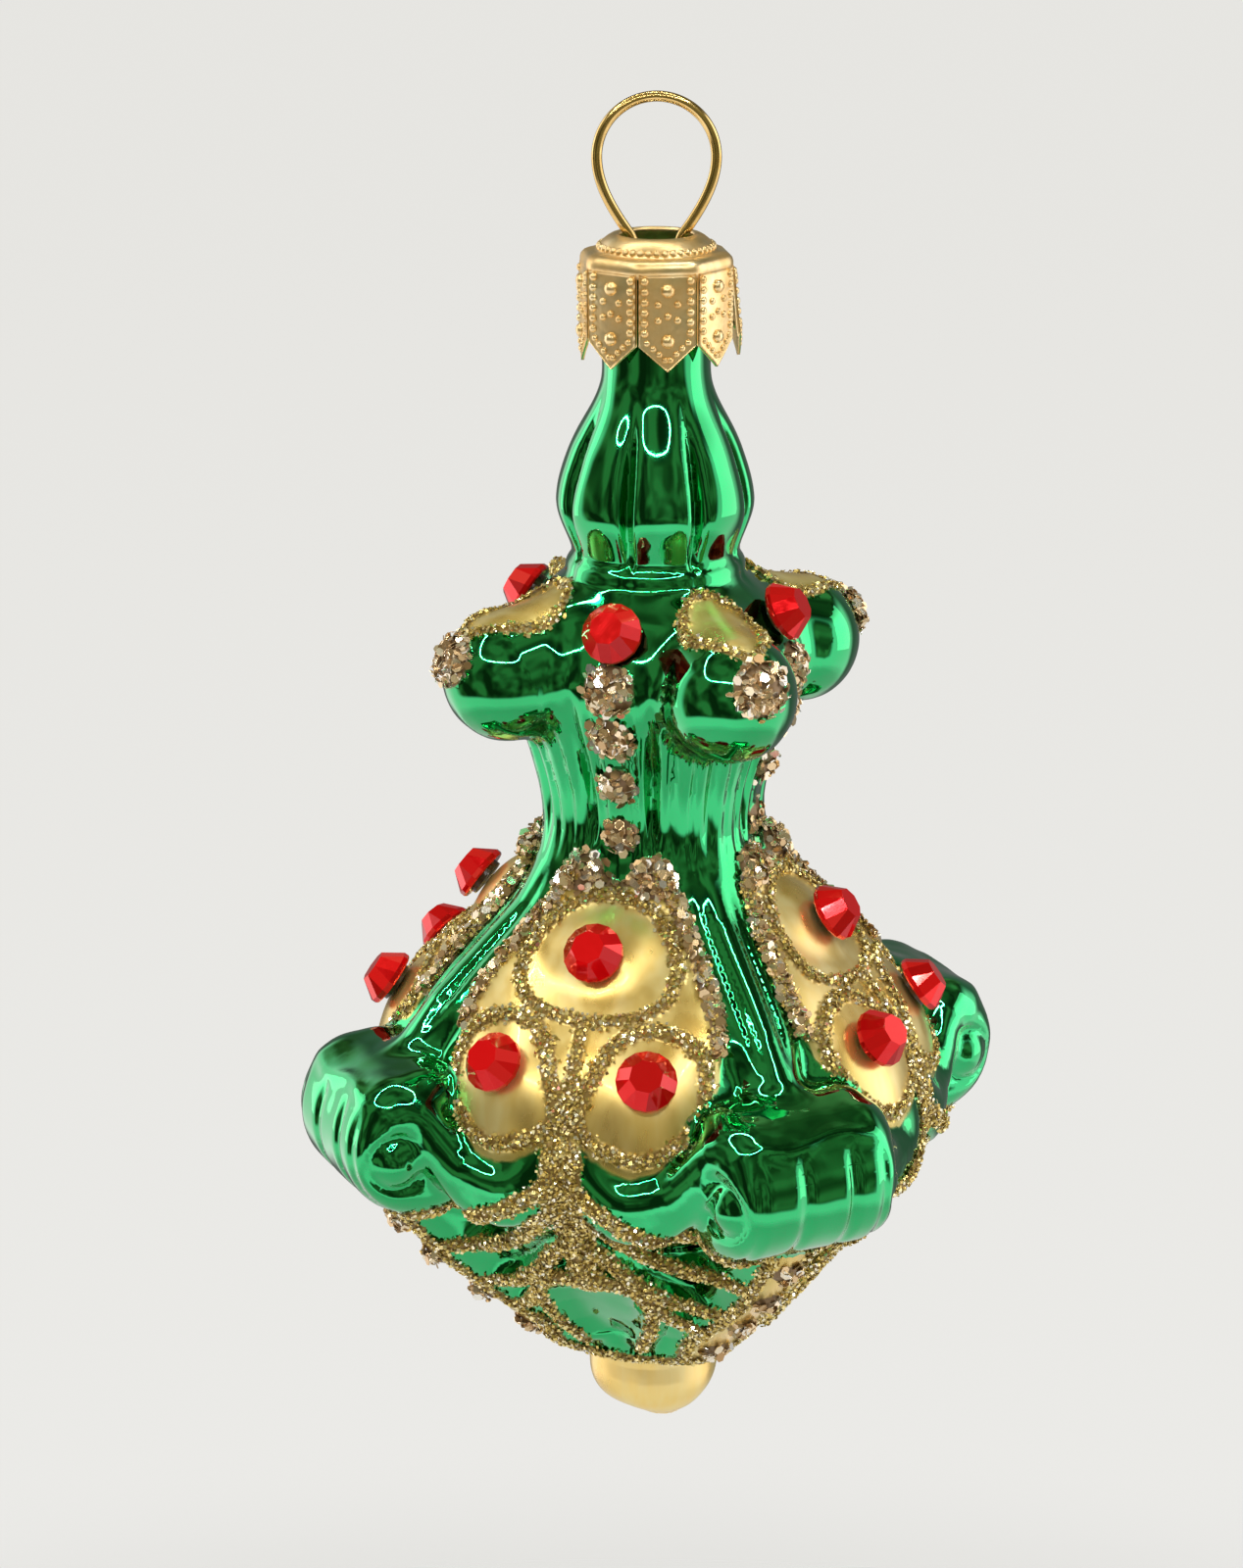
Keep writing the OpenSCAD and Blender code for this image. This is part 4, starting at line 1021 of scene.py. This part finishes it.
for j in range(len(profile)):
    here, below = RING_N * j, RING_N * ((j + 1) % len(profile))
    for k in range(RING_N):
        after = (k + 1) % RING_N
        cap_faces.append([here + after, below + after, below + k, here + k])
print("cap plate:", len(cap_faces), "faces")

# %% Cap tabs
TAB_IN, SHEET, TAB_L, TAB_POINT, TAB_W, TAB_TOP = 4.4, 0.25, 6.9, 1.6, 3.6, -0.9
TAB_BEND = math.radians(6)


def tab_front(s, t):
    """Point on a tab's front: s from -1 to 1 across it, t from 0 to 1 down it, then its depth."""
    fall = -0.85 + t * (0.85 - TAB_L + TAB_POINT * np.abs(s))
    crown = 0.14 * (1 - s * s) + 0.05 * np.exp(-((np.abs(s) - 0.93) / 0.06) ** 2)
    return np.stack([TAB_IN + SHEET + crown * unit(t * 6), s * TAB_W / 2, fall], axis=-1)


def turned(at, angle):
    c, s = math.cos(angle), math.sin(angle)
    return np.stack([at[..., 0] * c - at[..., 1] * s, at[..., 0] * s + at[..., 1] * c, at[..., 2]], axis=-1)


def bent(at):
    """Swings a tab outwards about its top edge."""
    c, s = math.cos(TAB_BEND), math.sin(TAB_BEND)
    dx, dz = at[..., 0] - TAB_IN, at[..., 2] - TAB_TOP
    return np.stack([TAB_IN + dx * c - dz * s, at[..., 1], TAB_TOP + dx * s + dz * c], axis=-1)


def on_tabs(at):
    """Points of one tab repeated round the cap, with the first tab bent."""
    return [turned(bent(at) if k == 0 else at, 2 * math.pi * k / TABS) for k in range(TABS)]


COLS, ROWS = 21, 26
layer = COLS * ROWS
ss, tt = np.meshgrid(np.linspace(-1, 1, COLS), np.linspace(0, 1, ROWS))
outside = tab_front(ss, tt).reshape(-1, 3)
slab = np.vstack([outside, outside - [SHEET * 0.8, 0, 0]])
slab_faces = []
for j in range(ROWS - 1):
    for k in range(COLS - 1):
        quad = [n + j * COLS + k for n in (0, COLS, COLS + 1, 1)]
        slab_faces += [quad, [layer + quad[n] for n in (0, 3, 2, 1)]]
rim = list(range(COLS)) + [j * COLS + COLS - 1 for j in range(1, ROWS)] \
    + [layer - 1 - k for k in range(1, COLS)] + [j * COLS for j in range(ROWS - 2, 0, -1)]
slab_faces += [[b, a, layer + a, layer + b] for a, b in zip(rim, rim[1:] + rim[:1])]
for k in range(TABS):
    start = len(plate) + k * len(slab)
    cap_faces += [[n + start for n in f] for f in slab_faces]
cap_points = turned(np.vstack([plate] + on_tabs(slab)), CAP_TURN) + [0, 0, PLATE_Z]
cap_piece = new_piece("crown_sheet", cap_points, cap_faces, sheet)
print("cap sheet:", len(cap_faces), "faces")

# %% Bead tree
bead_tree, given, result = new_tree("pressed_beads", [
    ("Flatness", "Float", 0.6), ("Material", "Material", None)])
bead_r = named(bead_tree, "radius")
ball = add(bead_tree, "GeometryNodeMeshUVSphere", {"Segments": 8, "Rings": 5, "Radius": 1.0})
aimed = add(bead_tree, "FunctionNodeAlignRotationToVector", {
    "Vector": named(bead_tree, "facing", "FLOAT_VECTOR")}, axis="Z")
bead_size = add(bead_tree, "ShaderNodeCombineXYZ", (
    bead_r, bead_r, calc(bead_tree, "MULTIPLY", bead_r, given["Flatness"])))
placed = add(bead_tree, "GeometryNodeInstanceOnPoints", {
    "Points": given["Geometry"], "Instance": ball.outputs[0], "Rotation": aimed.outputs[0],
    "Scale": bead_size.outputs[0]})
end_tree(bead_tree, result, placed.outputs[0], True, given["Material"])
print("bead tree:", len(bead_tree.nodes), "nodes")

# %% Places of the beads
tab_beads = []
for sign in (-1, 1):
    tab_beads += [(0.80 * sign, 0.08 + 0.135 * k, 0.27) for k in range(6)]
    tab_beads += [(sign * (0.72 - 0.21 * k), 0.86 + 0.012 * k, 0.22) for k in range(4)]
tab_beads += [(0, 0.16, 0.46), (0, 0.68, 0.46)]
tab_beads += [(s, t, 0.24) for s, t in ((-0.34, 0.33), (0.34, 0.33), (0, 0.42), (-0.34, 0.51), (0.34, 0.51))]
bead_s, bead_t, tab_radii = np.array(tab_beads).T
COLLAR_N, COLLAR_R, COLLAR_Z = 44, 3.6, 0.3
collar = np.arange(COLLAR_N) * 2 * math.pi / COLLAR_N
bead_points = np.vstack(on_tabs(tab_front(bead_s, bead_t)) + [on_ring(COLLAR_R, collar, COLLAR_Z)])
tab_turns = np.repeat(np.arange(TABS) * 2 * math.pi / TABS, len(tab_beads))
bead_facing = np.vstack([on_ring(1.0, tab_turns, 0.0), on_ring(1.0, collar, 0.8)])
bead_radii = np.append(np.tile(tab_radii, TABS), np.full(COLLAR_N, 0.26))
bead_points = turned(bead_points, CAP_TURN) + [0, 0, PLATE_Z]
beads = new_piece("crown_beads", bead_points, [], sheet)
beads.data.attributes.new("facing", "FLOAT_VECTOR", "POINT").data.foreach_set(
    "vector", turned(bead_facing, CAP_TURN).astype(np.float32).ravel())
keep_values(beads.data, "radius", bead_radii * MM)
grown(beads, bead_tree, Material=sheet, Flatness=0.75)
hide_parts("crown_cap")
for piece in (cap_piece, beads):
    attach(piece, "cap")
print("cap beads:", len(bead_points))

# %% [markdown]
# ## Hanger
# The hanger is one springy wire: a loop, round above, whose sides curve gently in to a pinch where it passes
# the collar, and two legs that press on the neck from inside. A wire is a path with a round section, so
# Geometry Nodes sweep a circle along it.

# %% Wire material
wire, tree, shader = new_material("gold_spring_wire")
drawn = grain(tree, 700.0)
dress(tree, shader, {
    "Base Color": ramp(tree, drawn, (0.3, (0.62, 0.40, 0.12)), (0.7, (0.86, 0.62, 0.26))),
    "Roughness": span(tree, drawn, 0.3, 0.7, 0.24, 0.14), "Metallic": 1.0})
print("wire material:", len(tree.nodes), "nodes")

# %% Wire path
LOOP_R, LOOP_Z, PINCH, BEND_R, LEG_L, LEG_OUT, WIRE_D = 3.74, -3.4, 2.9, 1.5, 11.0, 2.21, 0.68
LEAN, BEND, HANGER_TURN = math.radians(28), math.radians(36), math.radians(19)
lean_l = (LOOP_R * math.cos(LEAN) - PINCH / 2 - BEND_R * (1 - math.cos(LEAN))) / math.sin(LEAN)
pinch_z = LOOP_Z - LOOP_R * math.sin(LEAN) - lean_l * math.cos(LEAN) - BEND_R * math.sin(LEAN)
leg_lean = math.asin((LEG_OUT - PINCH / 2) / LEG_L)
leg_top = (PINCH / 2 + BEND_R * (1 - math.cos(leg_lean)), pinch_z - BEND_R * math.sin(leg_lean))
half_path = [(leg_top[0] + t * LEG_L * math.sin(leg_lean), leg_top[1] - t * LEG_L * math.cos(leg_lean))
             for t in np.linspace(1, 0, 8)]
half_path += [(PINCH / 2 + BEND_R * (1 - math.cos(a)), pinch_z + BEND_R * math.sin(a))
              for a in np.linspace(-leg_lean, BEND, 9)[1:]]
low, beside = np.array(half_path[-1]), np.array([LOOP_R, LOOP_Z])
pull = np.linalg.norm(beside - low)
for t in np.linspace(0, 1, 25)[1:]:
    here = (1 + 2 * t) * (1 - t) ** 2 * low + (3 - 2 * t) * t * t * beside \
        + pull * t * (1 - t) * ((1 - t) * np.array([math.sin(BEND), math.cos(BEND)]) - t * np.array([0, 1]))
    half_path.append(tuple(here))
half_path += [(LOOP_R * math.cos(a), LOOP_Z + LOOP_R * math.sin(a))
              for a in np.linspace(0, math.pi / 2, 32)[1:]]
sideways, wire_z = np.array(half_path + [(-a, b) for a, b in half_path[-2::-1]]).T
wire_points = on_ring(sideways, HANGER_TURN, wire_z)
wire_l = np.linalg.norm(np.diff(wire_points, axis=0), axis=1).sum()
print("wire:", len(wire_points), "points,", round(wire_l, 1), "mm long")

# %% Wire sweep
wire_tree, given, result = new_tree("swept_wire", [
    ("Diameter", "Float", WIRE_D * MM), ("Sides", "Int", 20), ("Material", "Material", None)])
route = add(wire_tree, "GeometryNodeMeshToCurve", {"Mesh": given["Geometry"]})
section = add(wire_tree, "GeometryNodeCurvePrimitiveCircle", {
    "Resolution": given["Sides"], "Radius": calc(wire_tree, "MULTIPLY", given["Diameter"], 0.5)})
swept = add(wire_tree, "GeometryNodeCurveToMesh", {
    "Curve": route.outputs[0], "Profile Curve": section.outputs[0], "Fill Caps": True})
end_tree(wire_tree, result, swept.outputs[0], True, given["Material"])
hanger_mesh = bpy.data.meshes.new("hanger_loop")
hanger_mesh.from_pydata((wire_points * MM).tolist(), [(k, k + 1) for k in range(len(wire_points) - 1)], [])
hanger = bpy.data.objects.new("hanger_loop", hanger_mesh)
bpy.context.scene.collection.objects.link(hanger)
grown(hanger, wire_tree, Material=wire, Diameter=WIRE_D * MM, Sides=20)
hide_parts("hanger_wire")
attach(hanger, "hanger")
print("swept wire:", len(hanger.data.polygons), "faces")

# %% [markdown]
# ## Studio
# Mirrored glass shows the room more than it shows itself. The photograph has a pale sweep below and behind,
# a dim room round the camera, and bright walls and windows at the sides. The glass also needs something dark
# right behind it, which draws a dark outline where it turns away. The world gives these by direction, soft
# boxes stand for the windows, and thin lamps overhead draw the pale lines on the glass.

# %% Floor
floor_material, tree, shader = new_material("pale_floor")
place = add(tree, "ShaderNodeTexCoord").outputs["Object"]
from_middle = add(tree, "ShaderNodeVectorMath", (place,), operation="LENGTH").outputs["Value"]
mottle = grain(tree, 30.0)
dress(tree, shader, {
    "Base Color": ramp(tree, mottle, (0.3, (0.78, 0.775, 0.75)), (0.7, (0.80, 0.795, 0.77))),
    "Alpha": span(tree, from_middle, 0.2, 0.32, 1.0, 0.0), "Roughness": 0.7})
FLOOR_R, FLOOR_Z, FLOOR_N = 330, -260, 64
rim_turns = np.linspace(0, 2 * math.pi, FLOOR_N, endpoint=False)
floor = new_piece("floor", on_ring(FLOOR_R, rim_turns, 0.0), [list(range(FLOOR_N))], floor_material,
                  smooth=False)
floor.location.z = FLOOR_Z * MM
print("floor at", FLOOR_Z, "mm")

# %% World
TO_FRONT = (0.07, -0.994, 0.087)
world = bpy.data.worlds.new("studio")
bpy.context.scene.world = world
world.use_nodes = True
tree = world.node_tree
direction = add(tree, "ShaderNodeTexCoord").outputs["Generated"]
rise = add(tree, "ShaderNodeSeparateXYZ", (direction,)).outputs["Z"]
front = add(tree, "ShaderNodeVectorMath", (direction, TO_FRONT), operation="DOT_PRODUCT").outputs["Value"]
facing_room = calc(tree, "MULTIPLY", span(tree, front, 0.1, 0.28), span(tree, rise, -0.46, -0.37))
dim = calc(tree, "MAXIMUM", facing_room, span(tree, rise, 0.35, 0.6))
shapes = add(tree, "ShaderNodeTexNoise", {"Vector": direction, "Scale": 2.4, "Detail": 1.5}).outputs["Fac"]
dim_room = ramp(tree, shapes, (0.38, (0.035, 0.035, 0.016)), (0.5, (0.13, 0.125, 0.055)),
                (0.62, (0.34, 0.32, 0.17)))
behind = span(tree, front, -0.76, -0.54, 1.0, 0.0)
walls = mix_colour(tree, behind, (1.25, 1.2, 1.2, 1), (0.14, 0.15, 0.14, 1))
mirrored = mix_colour(tree, dim, walls, dim_room)
sweep = ramp(tree, span(tree, rise, -0.55, 0.1, smooth=False), (0.0, (0.84, 0.835, 0.81)),
             (0.6, (0.795, 0.787, 0.757)))
lights = add(tree, "ShaderNodeLightPath")
mirror = calc(tree, "MAXIMUM", lights.outputs["Is Glossy Ray"], lights.outputs["Is Transmission Ray"])
tone = mix_colour(tree, mirror, (0.55, 0.55, 0.54, 1), mirrored)
tone = mix_colour(tree, lights.outputs["Is Camera Ray"], tone, sweep)
feed(tree, tree.nodes["Background"].inputs["Color"], tone)
print("world nodes:", len(tree.nodes))


# %% Lamps
LANTERN_MIDDLE = Vector((0, 0, -45 * MM))
STRIPS, STRIP_W, STRIP_GAP, STRIP_RADIANCE = 16, 6 * MM, 0.06, 64


def area_lamp(name, wide, tall, radiance, at, turn_to):
    lamp = bpy.data.objects.new(name, bpy.data.lights.new(name, "AREA"))
    lamp.data.shape = "RECTANGLE"
    lamp.data.size, lamp.data.size_y = wide, tall
    lamp.data.energy = math.pi * radiance * wide * tall
    lamp.matrix_world = Matrix.Translation(at) @ turn_to.to_4x4()
    bpy.context.scene.collection.objects.link(lamp)


def soft_box(name, azimuth, elevation, distance, wide, tall, radiance):
    """A lamp that faces the lantern, at degrees round from the front and up."""
    a, e = math.radians(azimuth), math.radians(elevation)
    out = Vector((math.cos(e) * math.sin(a), -math.cos(e) * math.cos(a), math.sin(e)))
    turn_to = out.to_track_quat("Z", "Y").to_matrix()
    area_lamp(name, wide, tall, radiance, LANTERN_MIDDLE + distance * out, turn_to)


def thin_lamp(name, start, end, radiance):
    """A thin lamp between two places in millimetres, turned towards the lantern."""
    a, b = Vector(start) * MM, Vector(end) * MM
    centre, along = (a + b) / 2, (b - a).normalized()
    out = (centre - LANTERN_MIDDLE).normalized()
    out = (out - out.dot(along) * along).normalized()
    turn_to = Matrix((along, out.cross(along), out)).transposed()
    area_lamp(name, (b - a).length, STRIP_W, radiance, centre, turn_to)


soft_box("right_window", 112, 10, 0.9, 0.5, 0.9, 1.0)
soft_box("left_window", -94, 8, 0.9, 0.3, 0.8, 1.0)
lap = np.linspace(0, 2 * math.pi, STRIPS + 1)
across_room, into_room = (np.sign(f(lap)) * np.abs(f(lap)) ** 0.7 for f in (np.cos, np.sin))
strip_ends = np.stack([255 * across_room + 30 * into_room, -180 + 215 * into_room - 25 * across_room,
                       295 + 35 * into_room], axis=1)
for k in range(STRIPS):
    gap = STRIP_GAP * (strip_ends[k + 1] - strip_ends[k])
    thin_lamp("overhead_strip_%d" % k, strip_ends[k] + gap, strip_ends[k + 1] - gap, STRIP_RADIANCE)
print("lamps:", 2 + STRIPS)
